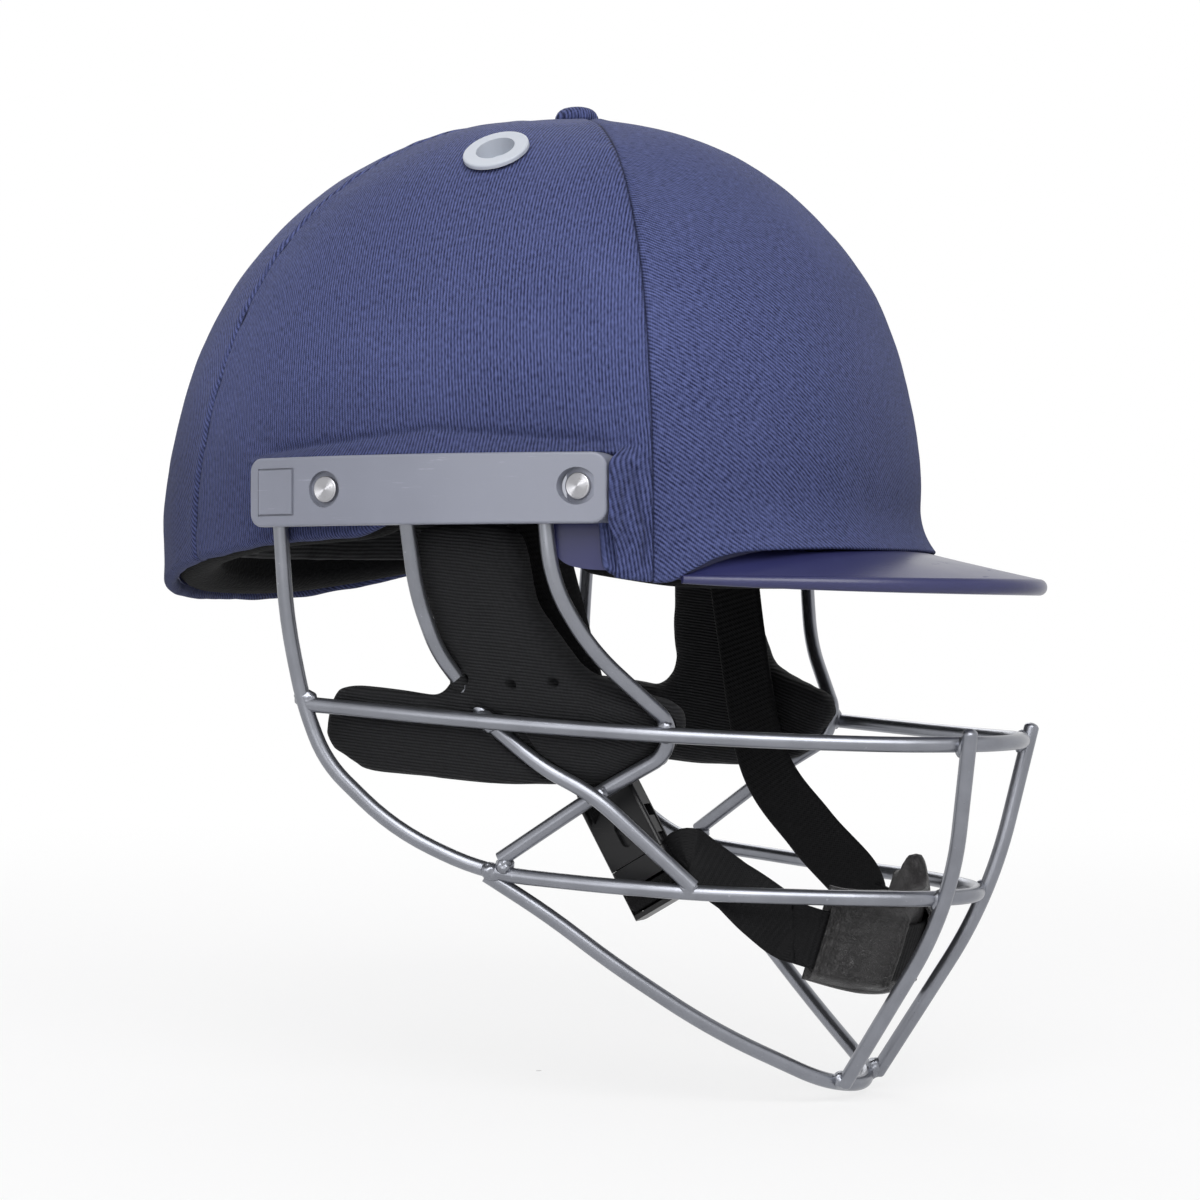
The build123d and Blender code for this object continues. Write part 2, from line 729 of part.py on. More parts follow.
def buckle_socket():
    """Female half: web slot at the top, hollow mouth, side slots for the arms and an oval face window."""
    body = rounded_block(buckle_width, buckle_thickness, 0, socket_length)
    half_cavity = buckle_thickness / 2 - buckle_wall
    mouth_top = socket_length - plug_tongue - buckle_gap
    cavity = buckle_box(-buckle_width, buckle_width, -half_cavity, half_cavity, mouth_top, socket_length)
    spine = buckle_width / 2 - buckle_wall
    web_slot = buckle_box(-web_width / 2 - buckle_gap, web_width / 2 + buckle_gap,
                          -web_thickness / 2 - web_slot_gap, web_thickness / 2 + web_slot_gap,
                          -buckle_gap, web_socket_depth + buckle_gap)
    window_z = socket_length - latch_window_length
    window = Pos(0, 0, window_z) * Rot(90, 0, 0) * extrude(
        SlotOverall(latch_window_length, spine / 2, rotation=90), amount=buckle_thickness, both=True)
    return body - cavity - web_slot - (window & buckle_box(-spine, spine, 0, buckle_thickness, 0, socket_length))


def arm_root(side):
    """Pivot of a latch arm, in the buckle's frame."""
    x = side * (buckle_width / 2 - latch_arm_width)
    return (x, socket_length + buckle_gap + latch_root_radius + latch_root_wall)


def root_rod(side, radius, half_height):
    x, z = arm_root(side)
    rod = Cylinder(radius, 2 * half_height)
    return Pos(x, 0, z) * Rot(90, 0, 0) * rod


def buckle_plug():
    """Male half: centre tongue, a base with two web bars, and round seats for the arm roots."""
    z0 = socket_length + buckle_gap
    z1 = z0 + plug_length
    base = rounded_block(buckle_width, buckle_thickness, z0, z1)
    half_tongue = buckle_thickness / 2 - buckle_wall - buckle_gap
    tongue_width = buckle_width / 2 - 2 * latch_arm_width
    tongue = buckle_box(-tongue_width, tongue_width, -half_tongue, half_tongue, z0 - plug_tongue, z0 + buckle_wall)
    plug = base + tongue
    for side in (-1, 1):
        plug = plug - root_rod(side, latch_root_radius + anchor_running_gap, half_tongue + buckle_gap)
        x, z = arm_root(side)
        half_throat = latch_arm_width / 2 + latch_travel_gap
        plug = plug - buckle_box(x - half_throat, x + half_throat, -half_tongue - buckle_gap,
                                 half_tongue + buckle_gap, z0 - buckle_gap, z)
    for i in range(2):
        z = z1 - buckle_wall - (i + 1) * web_slot_height - i * 2 * bar_radius
        plug = plug - buckle_box(-web_width / 2, web_width / 2, -buckle_thickness, buckle_thickness,
                                 z, z + web_slot_height)
    return plug


def latch_arm(side):
    """Springy side arm: round root in the plug, a straight arm and a thumb pad outside the socket wall."""
    half_depth = buckle_thickness / 2 - buckle_wall - buckle_gap
    x, z = arm_root(side)
    top = z - latch_length
    inner, outer = sorted((x - side * latch_arm_width / 2, x + side * latch_arm_width / 2))
    arm = buckle_box(inner, outer, -half_depth, half_depth, top, z)
    head_x = side * (buckle_width / 2 - buckle_gap)
    low, high = sorted((x, head_x))
    head = buckle_box(low, high, -half_depth, half_depth, top, top + latch_pad_length)
    return root_rod(side, latch_root_radius, half_depth) + arm + head


def cup_plane():
    a = math.radians(cup_lean_degrees)
    return Plane(origin=(cup_centre_x, 0, cup_centre_z), x_dir=(math.cos(a), 0, -math.sin(a)),
                 z_dir=(math.sin(a), 0, math.cos(a)))


def sector(inner, outer, from_degrees, to_degrees, height):
    """Curved slab about the cup's axis."""
    def arc(radius):
        angles = [math.radians(d) for d in (from_degrees, (from_degrees + to_degrees) / 2, to_degrees)]
        return ThreePointArc(*[(radius * math.cos(a), radius * math.sin(a)) for a in angles])

    far, near = arc(outer), arc(inner)
    ends = Line(far @ 0, near @ 0) + Line(far @ 1, near @ 1)
    return Pos(0, 0, -height / 2) * extrude(make_face(far + near + ends), amount=height)


def cup_cover():
    """Leather skin behind the web, with a wide keeper pocket over the web on each side."""
    skin_outer = cup_radius - web_gap
    skin = sector(skin_outer - cup_skin, skin_outer, -cup_half_degrees, cup_half_degrees, cup_height)
    keeper_outer = cup_radius + web_thickness + web_gap + cup_loop_wall
    cover = skin
    for side in (-1, 1):
        angles = sorted((side * cup_loop_inner_degrees, side * cup_loop_outer_degrees))
        keeper = sector(skin_outer, keeper_outer, *angles, cup_loop_height)
        channel = sector(skin_outer, keeper_outer - cup_loop_wall, *angles, web_width + 2 * web_gap)
        cover = cover + (keeper - channel)
    return cover


def cup_lining():
    outer = cup_radius - web_gap - cup_skin - layer_gap
    pad = sector(outer - cup_pad, outer, -cup_half_degrees, cup_half_degrees, cup_height - 2 * cup_pad_inset)
    return fillet(pad.edges(), cup_edge)


def web_loop():
    return sector(cup_radius, cup_radius + web_thickness, -web_loop_degrees, web_loop_degrees, web_width)


def loop_end(side):
    """Two last stations of a strap, in line with the end of the loop round the chin."""
    a = math.radians(web_loop_degrees)
    r = cup_radius + web_thickness / 2
    plane = cup_plane()
    stations = []
    for step in (web_gap + web_lead, web_gap):
        x = r * math.cos(a) - step * math.sin(a)
        y = r * math.sin(a) + step * math.cos(a)
        stations.append((plane.from_local_coords(Vector(x, side * y, 0)), plane.z_dir))
    return stations


def strap_right_upper():
    entry = buckle_plane().from_local_coords(Vector(0, 0, web_socket_depth))
    mouth = buckle_plane().from_local_coords(Vector(0, 0, -web_socket_depth))
    across = buckle_plane().x_dir
    return ribbon([(web_top(-1), (1, 0, 0)), (mouth, across), (entry, across)], web_width, web_thickness)


def strap_left():
    a = math.radians(buckle_lean_degrees)
    across = (math.cos(a), 0, math.sin(a))
    middle = [(p, across) for p in guard_points(strap_left_shares, 1)]
    return ribbon([(web_top(1), (1, 0, 0))] + middle + loop_end(1), web_width, web_thickness)


def strap_front():
    """Web from the side of the plug, over a crest, to the loop round the chin."""
    plane = buckle_plane()
    z = socket_length + buckle_gap + plug_length / 2
    starts = []
    for step in (0, web_lead):
        place = Vector(buckle_width / 2 + buckle_gap + step, 0, z)
        starts.append((plane.from_local_coords(place), -plane.z_dir))
    up = cup_plane().z_dir
    middle = [(p, up) for p in guard_points(strap_front_shares)]
    return ribbon(starts + middle + loop_end(-1), web_width, web_thickness)


def write(name, solid):
    export_step(solid, f"parts/{name}.step")


def write_pair(name, right_solid):
    write(f"{name}_right", right_solid)
    write(f"{name}_left", mirrored(right_solid))


def group(solids):
    return Compound(children=[s for s in solids])


def write_dome():
    holes = screw_holes()
    holes = holes + mirrored(holes)
    vents = eyelet_hole(1) + eyelet_hole(-1)
    write("outer_shell", layer(shell_outer, shell_inner, rim_shares) - holes - vents)
    cover = layer(0, cover_inner, hem_shares) - holes - vents
    write("cover_front_panel", cover & wedge(-front_seam_degrees, front_seam_degrees))
    write_pair("cover_side_panel", cover & wedge(-rear_seam_degrees, -front_seam_degrees))
    write("cover_rear_panel", cover & wedge(rear_seam_degrees, 360 - rear_seam_degrees))
    write("cover_button", button())
    write_pair("vent_eyelet", eyelet(-1))
    write("peak", peak())


def write_padding():
    liner = layer(liner_outer, liner_inner, rim_shares, liner_lip)
    pockets = anchor_hole()
    for x, z in screw_places():
        pockets = pockets + nut_pocket(x, z)
    liner = liner - pockets - mirrored(pockets) - eyelet_hole(1) - eyelet_hole(-1)
    write("impact_liner", liner)
    padding = comfort_layer()
    span = dome_length
    write("crown_pad", padding & slice_box((-span, -span, crown_pad_z), (span, span, dome_height)))
    write("brow_pad", padding & slice_box((brow_pad_x, -span, brow_pad_low_z), (span, span, brow_pad_high_z)))
    write("nape_pad", padding & slice_box((-span, -span, rear_pad_low_z), (rear_pad_x, span, rear_pad_high_z)))
    side = slice_box((-side_pad_half_length, -span, side_pad_low_z), (side_pad_half_length, 0, side_pad_high_z))
    write_pair("side_comfort_pad", padding & side)


def write_guard():
    write_pair("guard_bracket", bracket_body())
    write_pair("guard_carrier", carrier())
    screws = [screw(x, z) for x, z in screw_places()]
    nuts = [nut(x, z) for x, z in screw_places()]
    write("bracket_screws", group(screws + [mirrored(s) for s in screws]))
    write("bracket_nuts", group(nuts + [mirrored(n) for n in nuts]))
    write("guard_middle_bar", wire(middle_bar_points()))
    write("guard_top_bar", wire(top_bar_points()))
    write("guard_jaw_wire", wire(jaw_points()))
    write_pair("guard_front_wire", wire(front_wire_points()))
    write_pair("guard_cross_wire", wire(cross_wire_points()))
    write_pair("guard_upright", wire(guard_points(upright_shares)))
    write_pair("cheek_pad", cheek_pad())


def write_strap():
    write_pair("strap_anchor_tab", anchor_tab())
    write_pair("strap_anchor_screw", anchor_screw())
    write("strap_right_upper", strap_right_upper())
    write("strap_left", strap_left())
    write("strap_front", strap_front())
    write("buckle_socket", buckle_plane() * buckle_socket())
    write("buckle_plug", buckle_plane() * buckle_plug())
    write("buckle_arm_rear", buckle_plane() * latch_arm(-1))
    write("buckle_arm_front", buckle_plane() * latch_arm(1))
    write("strap_chin_loop", cup_plane() * web_loop())
    write("chin_cup_cover", cup_plane() * cup_cover())
    write("chin_cup_lining", cup_plane() * cup_lining())


def main():
    os.makedirs("parts", exist_ok=True)
    write_dome()
    write_padding()
    write_guard()
    write_strap()


if __name__ == "__main__":
    main()
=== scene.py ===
import math
from contextlib import contextmanager

import bmesh
import bpy
import numpy as np
from mathutils import Matrix, Vector, noise
from mathutils.bvhtree import BVHTree


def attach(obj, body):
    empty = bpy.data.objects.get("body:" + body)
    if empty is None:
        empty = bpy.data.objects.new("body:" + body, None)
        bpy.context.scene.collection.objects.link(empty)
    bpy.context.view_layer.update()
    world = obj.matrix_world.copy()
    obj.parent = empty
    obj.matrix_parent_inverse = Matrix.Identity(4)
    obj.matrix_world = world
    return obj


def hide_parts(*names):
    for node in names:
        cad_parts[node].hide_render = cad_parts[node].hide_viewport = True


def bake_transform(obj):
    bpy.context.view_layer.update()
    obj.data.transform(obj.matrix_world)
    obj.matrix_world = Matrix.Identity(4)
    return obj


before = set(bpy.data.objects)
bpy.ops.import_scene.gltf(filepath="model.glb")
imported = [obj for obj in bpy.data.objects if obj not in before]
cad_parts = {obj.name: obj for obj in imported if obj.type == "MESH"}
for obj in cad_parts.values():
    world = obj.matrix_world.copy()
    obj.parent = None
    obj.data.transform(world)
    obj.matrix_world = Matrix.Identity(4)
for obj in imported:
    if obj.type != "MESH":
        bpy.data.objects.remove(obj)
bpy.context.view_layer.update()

bl_info = {
    "name": "Batting helmet",
    "version": (1, 0, 0),
    "blender": (4, 5, 0),
    "location": "View3D > Sidebar > Helmet",
    "description": "Dresses the helmet frame in cloth, foam, webbing, leather and coated wire",
    "category": "Object",
}

MM = 0.001

# Dome, outside of the cloth cover, in mm
HALF_LENGTH = 132.0
HALF_WIDTH = 108.0
DOME_HEIGHT = 165.3
CROWN_FORWARD = 6.7
CROWN_SHIFT_POWER = 1.5
PLAN_POWER = 2.3
HEIGHT_POWER = 2.5
HEIGHT_ROOT = 2.28
BUTTON_X = 15.0
LINER_OUTER = 5.0
LINER_INNER = 19.0
LINER_LIP = 1.5
AIR_CHANNELS = (0, 32, 70, 108, 148, 180, 212, 252, 290, 328)
FRONT_SEAM = 50.5
REAR_SEAM = 137.0

# Side view of the cloth's hem and of the liner's rim, shares of half the length and of the height
HEM = [(-1.06, .012), (-.97, .022), (-.87, .045), (-.73, .078), (-.58, .097), (-.33, .122), (-.07, .134),
       (.04, .165), (.13, .195), (.50, .195), (.548, .150), (.566, .062), (.62, .044), (.69, .039),
       (.742, .062), (.78, .082), (.822, .092), (.90, .0975), (1.10, .1005)]
RIM = HEM[:9] + [(.30, .195), (.40, .150), (.46, .070), (.57, .052), (.70, .036), (1.10, .036)]

# Guard block and vents
BLOCK_TOP = 45.0
BLOCK_FRONT = 78.0
BLOCK_STAND = 10.5
BLOCK_BOW = 200.0
EYELET = (16.6, 59.9, 146.2)
EYELET_HOLE = 8.2
SCREWS = [(-13.5, 34.5), (69.5, 34.5)]
SCREW_SUNK = 0.3

# Guard wires
WIRE_RADIUS = 2.5
UPRIGHT = [(.968, .303, -.266), (.908, .187, -.612), (.690, .150, -.985)]
WELD_SIZE = (3.9, 3.0, 3.0)

# Pads: shares of the guard's reach and drop, room to the wires in mm, and steps of the swelling
BREATHERS = [(.117, -.160), (.208, -.170), (.284, -.166)]
CHEEK_CREASE = [(.130, -.200), (.215, -.262), (.250, -.370)]
WIRE_GAP, WIRE_ROOM = 0.45, 3.2
SWELL_FRAMES = 20

# Chin strap, in mm; bends are shares of the guard's reach, half width and drop
REACH, HALF_GUARD, DROP = 175.0, 98.0, 160.0
WEB_WIDTH = 20.0
WEB_THICK = 1.5
WEB_PITCH = 1.9
WEB_STEP = 0.33
ANCHOR = (36.0, 77.42, 38.0)
BUCKLE_ORIGIN = Vector((52.5, -51.0, -62.0))
BUCKLE_LEAN = math.radians(30)
BUCKLE_X = Vector((math.cos(BUCKLE_LEAN), 0, math.sin(BUCKLE_LEAN)))
BUCKLE_Z = Vector((math.sin(BUCKLE_LEAN), 0, -math.cos(BUCKLE_LEAN)))
CUP_ORIGIN = Vector((103.0, 0, -104.0))
CUP_LEAN = math.radians(18)
CUP_X = Vector((math.cos(CUP_LEAN), 0, -math.sin(CUP_LEAN)))
CUP_Z = Vector((math.sin(CUP_LEAN), 0, math.cos(CUP_LEAN)))
CUP_RADIUS = 36.0
CUP_HALF = 64.0
LOOP_HALF = 74.0
WEB_TILT = math.radians(48)
SOCKET_LENGTH, PLUG_LENGTH = 25.0, 17.0
LEFT_BENDS = [(.275, .660, -.075), (.365, .500, -.350), (.480, .450, -.500), (.585, .400, -.600)]
FRONT_BENDS = [(.540, .455, -.565), (.615, .400, -.608)]

# Cloth over the dome, in mm; lines are (x, z) in the side view, creases are (line, depth, width)
FRONT_FULLNESS, REAR_FULLNESS, FLARE = 2.0, 1.2, 5.2
SEAM_DEPTH = 0.75
WRAP = 9.2
FOLD = [(-60, 45.6), (-42.3, 47.6), (17.4, 53.2), (71.7, 48.6), (84, 46.5)]
WRINKLES = [([(82.4, 43), (83.8, 28), (85.6, 20.8), (84.3, 7)], 1.25, 1.25),
            ([(81.4, 37), (81.0, 27), (81.8, 15)], 0.9, 0.9),
            ([(74.5, 58), (77.5, 50), (79.5, 43)], 0.5, 1.8)]
DRAG_LINES = [([(-44, 47), (-58, 57), (-70, 71)], 0.5, 3.2),
              ([(-30, 52), (-22, 63), (-16, 80)], 0.35, 4.0),
              ([(60, 52), (52, 64), (46, 82)], 0.35, 3.6)]

# Stage: the floor's (radius, rise) in mm, its whiteness near the helmet and the two distances in mm
# between which it turns white, and each lamp's place, aim and size in metres
FLOOR_HEIGHT = -164.0
FLOOR = [(1.0, 0), (600, 0), (1800, 0), (2300, 60), (2700, 300), (2900, 800), (3000, 3200)]
FLOOR_GLOW = 0.78, 330.0, 1300.0
KEY_LAMP = (0.68, -0.95, 0.92), (0.02, 0, 0.02), 1.0
FILL_LAMP = (0.2, -1.6, 0.25), (0.02, 0, 0.0), 1.0
FAR_LAMP = (-0.6, 0.9, 0.9), (0.0, 0, 0.05), 0.9
LENS, FILM = 88.5, 36
TARGET = Vector((0.024, 0, 0))


# Sizes and colours that a user would change

class HelmetCloth(bpy.types.PropertyGroup):
    """Cloth cover of the dome"""
    navy: bpy.props.FloatVectorProperty(
        name="Navy", description="Colour of the twill on top of its ribs", subtype="COLOR", size=3,
        default=(0.094, 0.114, 0.272))
    shade: bpy.props.FloatVectorProperty(
        name="Shade", description="Colour of the twill between its ribs", subtype="COLOR", size=3,
        default=(0.010, 0.013, 0.044))
    pitch: bpy.props.FloatProperty(
        name="Rib pitch", description="Distance between ribs of the twill, in millimetres", default=1.1)
    side_ribs: bpy.props.FloatProperty(
        name="Side ribs", description="Lean of the ribs on the side panels", default=math.radians(-9),
        subtype="ANGLE")
    front_ribs: bpy.props.FloatProperty(
        name="Front ribs", description="Lean of the ribs on the front panel", default=math.radians(-46),
        subtype="ANGLE")
    hem: bpy.props.FloatProperty(
        name="Hem roll", description="Radius of the hem round the shell's rim, in millimetres", default=2.4)
    bulge: bpy.props.FloatProperty(
        name="Bulge", description="How far the cloth stands out on top of the guard block, in millimetres",
        default=5.0)


class HelmetPadding(bpy.types.PropertyGroup):
    """Foam and stretch cloth"""
    pressure: bpy.props.FloatProperty(
        name="Pressure", description="How hard the padding swells", default=4.0)
    swell: bpy.props.FloatProperty(
        name="Largest swell", description="Farthest that a point of a pad may move", default=0.0035,
        unit="LENGTH")
    voxel: bpy.props.FloatProperty(
        name="Mesh size", description="Size of the pads' mesh before they swell", default=0.004,
        unit="LENGTH")
    cloth: bpy.props.FloatVectorProperty(
        name="Pad cloth", description="Colour of the ribbed stretch cloth", subtype="COLOR", size=3,
        default=(0.0085, 0.0087, 0.0098))


class HelmetHardware(bpy.types.PropertyGroup):
    """Moulded, metal, webbing and leather pieces"""
    block: bpy.props.FloatVectorProperty(
        name="Block", description="Colour of the guard blocks", subtype="COLOR", size=3,
        default=(0.212, 0.223, 0.272))
    peak: bpy.props.FloatVectorProperty(
        name="Peak", description="Colour of the peak", subtype="COLOR", size=3, default=(0.026, 0.028, 0.098))
    wire: bpy.props.FloatVectorProperty(
        name="Wire", description="Colour of the coated wire", subtype="COLOR", size=3,
        default=(0.285, 0.295, 0.330))
    web: bpy.props.FloatVectorProperty(
        name="Webbing", description="Colour of the webbing", subtype="COLOR", size=3,
        default=(0.0022, 0.0022, 0.0026))
    leather: bpy.props.FloatVectorProperty(
        name="Leather", description="Colour of the chin cup's leather", subtype="COLOR", size=3,
        default=(0.0105, 0.0095, 0.010))


class HelmetStage(bpy.types.PropertyGroup):
    """Camera, lamps and floor"""
    azimuth: bpy.props.FloatProperty(
        name="Camera azimuth", description="Direction of the view", default=math.radians(27),
        subtype="ANGLE")
    elevation: bpy.props.FloatProperty(
        name="Camera elevation", description="Height of the view", default=math.radians(-0.26),
        subtype="ANGLE")
    distance: bpy.props.FloatProperty(
        name="Camera distance", description="From the lens to the helmet", default=1.018, unit="LENGTH")
    key: bpy.props.FloatProperty(
        name="Key lamp", description="Power of the large lamp above", default=16.0, unit="POWER")
    fill: bpy.props.FloatProperty(
        name="Fill lamp", description="Power of the low lamp beside the camera", default=5.0, unit="POWER")
    sky: bpy.props.FloatProperty(
        name="Room light", description="Strength of the light from all round", default=0.55)


# Finishes

class Reading:
    """A number or colour that changes over a surface; sums with it become nodes."""

    def __init__(self, finish, socket):
        self.finish = finish
        self.socket = socket

    def sum(self, operation, *values, clamp=False):
        """A Math node over numbers and readings."""
        settings = {"operation": operation, "use_clamp": clamp}
        return self.finish.node("ShaderNodeMath", settings, dict(enumerate(values)))

    def __add__(self, other):
        return self.sum("ADD", self, other)

    def __radd__(self, other):
        return self.sum("ADD", other, self)

    def __sub__(self, other):
        return self.sum("SUBTRACT", self, other)

    def __rsub__(self, other):
        return self.sum("SUBTRACT", other, self)

    def __mul__(self, other):
        return self.sum("MULTIPLY", self, other)

    def __rmul__(self, other):
        return self.sum("MULTIPLY", other, self)

    def sin(self):
        return self.sum("SINE", self)

    def abs(self):
        return self.sum("ABSOLUTE", self)

    def most(self, other):
        return self.sum("MAXIMUM", self, other)

    def clamp(self):
        return self.sum("ADD", self, 0.0, clamp=True)

    def rise(self, low, high):
        """0 below low, 1 above high, with a soft change between."""
        inputs = {"Value": self, "From Min": low, "From Max": high}
        return self.finish.node("ShaderNodeMapRange", {"interpolation_type": "SMOOTHSTEP"}, inputs)


class Finish:
    """One material made of nodes."""

    def __init__(self, name, **constants):
        self.material = bpy.data.materials.new(name)
        self.material.use_nodes = True
        self.tree = self.material.node_tree
        self.shader = self.tree.nodes["Principled BSDF"]
        for key, value in constants.items():
            self.put(key.replace("_", " "), value)

    def node(self, kind, settings=None, inputs=None, output=0):
        """Any node, from its type, its settings and the values or links of its sockets."""
        made = self.tree.nodes.new(kind)
        for key, value in (settings or {}).items():
            setattr(made, key, value)
        for key, value in (inputs or {}).items():
            self.feed(made.inputs[key], value)
        return Reading(self, made.outputs[output])

    def feed(self, socket, value):
        """Links a reading to a socket, or sets a constant there."""
        if isinstance(value, Reading):
            self.tree.links.new(value.socket, socket)
        elif hasattr(value, "__len__") and len(value) == 3 and socket.type == "RGBA":
            socket.default_value = (*value, 1)
        else:
            socket.default_value = value

    def put(self, name, value):
        """Sets a socket of the surface shader."""
        self.feed(self.shader.inputs[name], value)

    def place(self, output="Object", scale=1000.0):
        """Position on the piece in millimetres, or UV in hundredths of its unit."""
        coords = self.node("ShaderNodeTexCoord", output={"Object": 3, "UV": 2}[output])
        return self.node("ShaderNodeVectorMath", {"operation": "SCALE"}, {0: coords, "Scale": scale})

    def split(self, vector):
        """The three parts of a vector."""
        made = self.node("ShaderNodeSeparateXYZ", inputs={0: vector}).socket.node
        return [Reading(self, made.outputs[i]) for i in range(3)]

    def join(self, x, y, z):
        return self.node("ShaderNodeCombineXYZ", inputs={0: x, 1: y, 2: z})

    def grain(self, vector, scale, detail=2.0, rough=0.5, warp=0.0):
        """Soft random speckle; scale is its count per millimetre."""
        inputs = {"Vector": vector, "Scale": scale, "Detail": detail, "Roughness": rough, "Distortion": warp}
        return self.node("ShaderNodeTexNoise", inputs=inputs)

    def cells(self, vector, scale):
        """Distance to the edge of the nearest cell of a broken pattern."""
        inputs = {"Vector": vector, "Scale": scale}
        return self.node("ShaderNodeTexVoronoi", {"feature": "DISTANCE_TO_EDGE"}, inputs)

    def mix(self, factor, a, b):
        settings = {"data_type": "RGBA"}
        return self.node("ShaderNodeMix", settings, {0: factor, 6: a, 7: b}, output=2)

    def bump(self, height, depth, strength=1.0):
        """Relief of a height from 0 to 1, depth in millimetres."""
        inputs = {"Height": height, "Distance": depth * MM, "Strength": strength}
        self.put("Normal", self.node("ShaderNodeBump", inputs=inputs))


def options(name):
    """One group of the sizes and colours that a user would change."""
    return getattr(bpy.context.scene, name)


def tone(colour, share, lift=0.0):
    """A darker or paler colour."""
    return tuple(min(1, c * share + lift) for c in colour)


def twill(name, lean, navy, shade, pitch):
    """Ribbed cotton twill; the ribs lean from the upright of the panel."""
    made = Finish(name, Roughness=0.86, Sheen_Weight=0.05, Sheen_Roughness=0.5, Specular_IOR_Level=0.14)
    u, v, _ = made.split(made.place("UV", 100.0))
    across = u * math.cos(lean) + v * math.sin(lean)
    along = v * math.cos(lean) - u * math.sin(lean)
    wander = made.grain(made.join(across, along, 0.0), 0.35, 2.0) - 0.5
    rib = ((across + wander * 0.25) * (2 * math.pi / pitch)).sin() * 0.5 + 0.5
    thread = ((along + across * 0.5) * (2 * math.pi / (pitch * 0.62))).sin() * 0.5 + 0.5
    height = rib * 0.75 + rib * thread * 0.25
    fuzz = made.grain(made.join(across * 1.3, along * 0.5, 0.0), 1.1, 3.0)
    wear = made.grain(made.place(), 0.022, 4.0, 0.6)
    body = made.mix((rib * 0.72 + thread * 0.22 + (fuzz - 0.5) * 1.7 + 0.05).clamp(), shade, navy)
    body = made.mix((wear - 0.47).clamp() * 0.4, body, tone(navy, 1.35, 0.012))
    # painted shade from the mesh: darker low on the dome and towards the rear, in creases and wrinkles, under
    # the rolled hem and under the button; also the dark stitched seam lines
    painted_shade_and_seams = made.node("ShaderNodeAttribute", {"attribute_name": "painted_shade_and_seams"}, output=2)
    made.put("Base Color", made.mix((painted_shade_and_seams * 0.85).clamp(), body, tone(shade, 0.45)))
    made.put("Roughness", 0.82 + (fuzz - 0.5) * 0.2)
    made.bump(height * 0.8 + fuzz * 0.2, 0.30, 1.0)
    return made.material


def moulded(name, colour, rough=0.34, scuff=0.5, gloss=0.5):
    """Satin moulded plastic with a fine orange peel and light scuffs."""
    made = Finish(name, Specular_IOR_Level=gloss)
    spot = made.place()
    peel = made.grain(spot, 0.9, 2.0)
    cloud = made.grain(spot, 0.05, 3.0)
    x, y, z = made.split(spot)
    streak = made.grain(made.join(x * 0.25, y * 0.3, z * 2.6), 0.35, 4.0, 0.65)
    marks = streak.rise(0.60, 0.72) * made.grain(spot, 0.06, 2.0).rise(0.45, 0.62)
    body = made.mix(cloud, tone(colour, 0.85), colour)
    made.put("Base Color", made.mix(marks * scuff, body, tone(colour, 1.5, 0.03)))
    made.put("Roughness", rough + (cloud - 0.5) * 0.12 + marks * 0.22)
    made.bump(peel * 0.5 + marks * 0.5, 0.05, 0.5)
    return made.material


def coated_wire(name, colour):
    """Dark slate coating over steel, with small runs and chips."""
    made = Finish(name, Metallic=0.85)
    spot = made.place()
    cloud = made.grain(spot, 0.08, 3.0)
    fine = made.grain(spot, 1.3, 3.0, 0.6)
    runs = made.grain(spot, 0.28, 2.0)
    worn = made.grain(spot, 0.5, 4.0, 0.7).rise(0.66, 0.74)
    body = made.mix(cloud, tone(colour, 0.62), colour)
    made.put("Base Color", made.mix(worn * 0.5, body, tone(colour, 1.7, 0.04)))
    made.put("Roughness", 0.30 + (fine - 0.5) * 0.12 + worn * 0.12)
    made.bump(runs * 0.85 + fine * 0.15, 0.05, 0.4)
    return made.material


def turned_steel(name, rough=0.28):
    """Bright steel with a few dull spots."""
    made = Finish(name, Metallic=1.0)
    spot = made.place()
    fine = made.grain(spot, 2.2, 2.0)
    spots = made.grain(spot, 0.5, 3.0).rise(0.6, 0.75)
    made.put("Base Color", made.mix(spots * 0.6, (0.42, 0.42, 0.44), (0.20, 0.18, 0.17)))
    made.put("Roughness", rough + fine * 0.15)
    made.bump(fine, 0.03, 0.5)
    return made.material


def foam(name, colour=(0.0035, 0.0037, 0.0042)):
    """Black foam of fused beads."""
    made = Finish(name, Roughness=0.9, Specular_IOR_Level=0.1)
    spot = made.place()
    beads = made.cells(spot, 0.42)
    cloud = made.grain(spot, 0.03, 3.0)
    made.put("Base Color", made.mix(cloud, tone(colour, 0.6), tone(colour, 1.5)))
    made.put("Roughness", 0.82 + cloud * 0.12)
    made.bump(beads.rise(0.0, 0.25), 0.25, 0.6)
    return made.material


def ribbed_cloth(name, colour, pitch=1.05, dip=0.10):
    """Stretch cloth with fine level ribs that dip towards the front."""
    made = Finish(name, Roughness=0.85, Sheen_Weight=0.03, Sheen_Roughness=0.5, Specular_IOR_Level=0.16)
    spot = made.place()
    x, y, z = made.split(spot)
    wander = made.grain(spot, 0.05, 2.0) - 0.5
    level = z + x * dip + (x - 60.0).most(0.0) * 0.22 + wander * 1.2
    rib = (level * (2 * math.pi / pitch)).sin() * 0.5 + 0.5
    stitch = ((x - y * 0.6) * (2 * math.pi / 0.9)).sin() * 0.5 + 0.5
    fuzz = made.grain(spot, 1.1, 3.0)
    share = (rib * 0.7 + stitch * 0.15 + (fuzz - 0.5) * 0.5 + 0.05).clamp()
    made.put("Base Color", made.mix(share, tone(colour, 0.45), tone(colour, 1.9, 0.006)))
    made.bump(rib * 0.75 + stitch * rib * 0.2 + fuzz * 0.15, 0.26, 0.9)
    return made.material


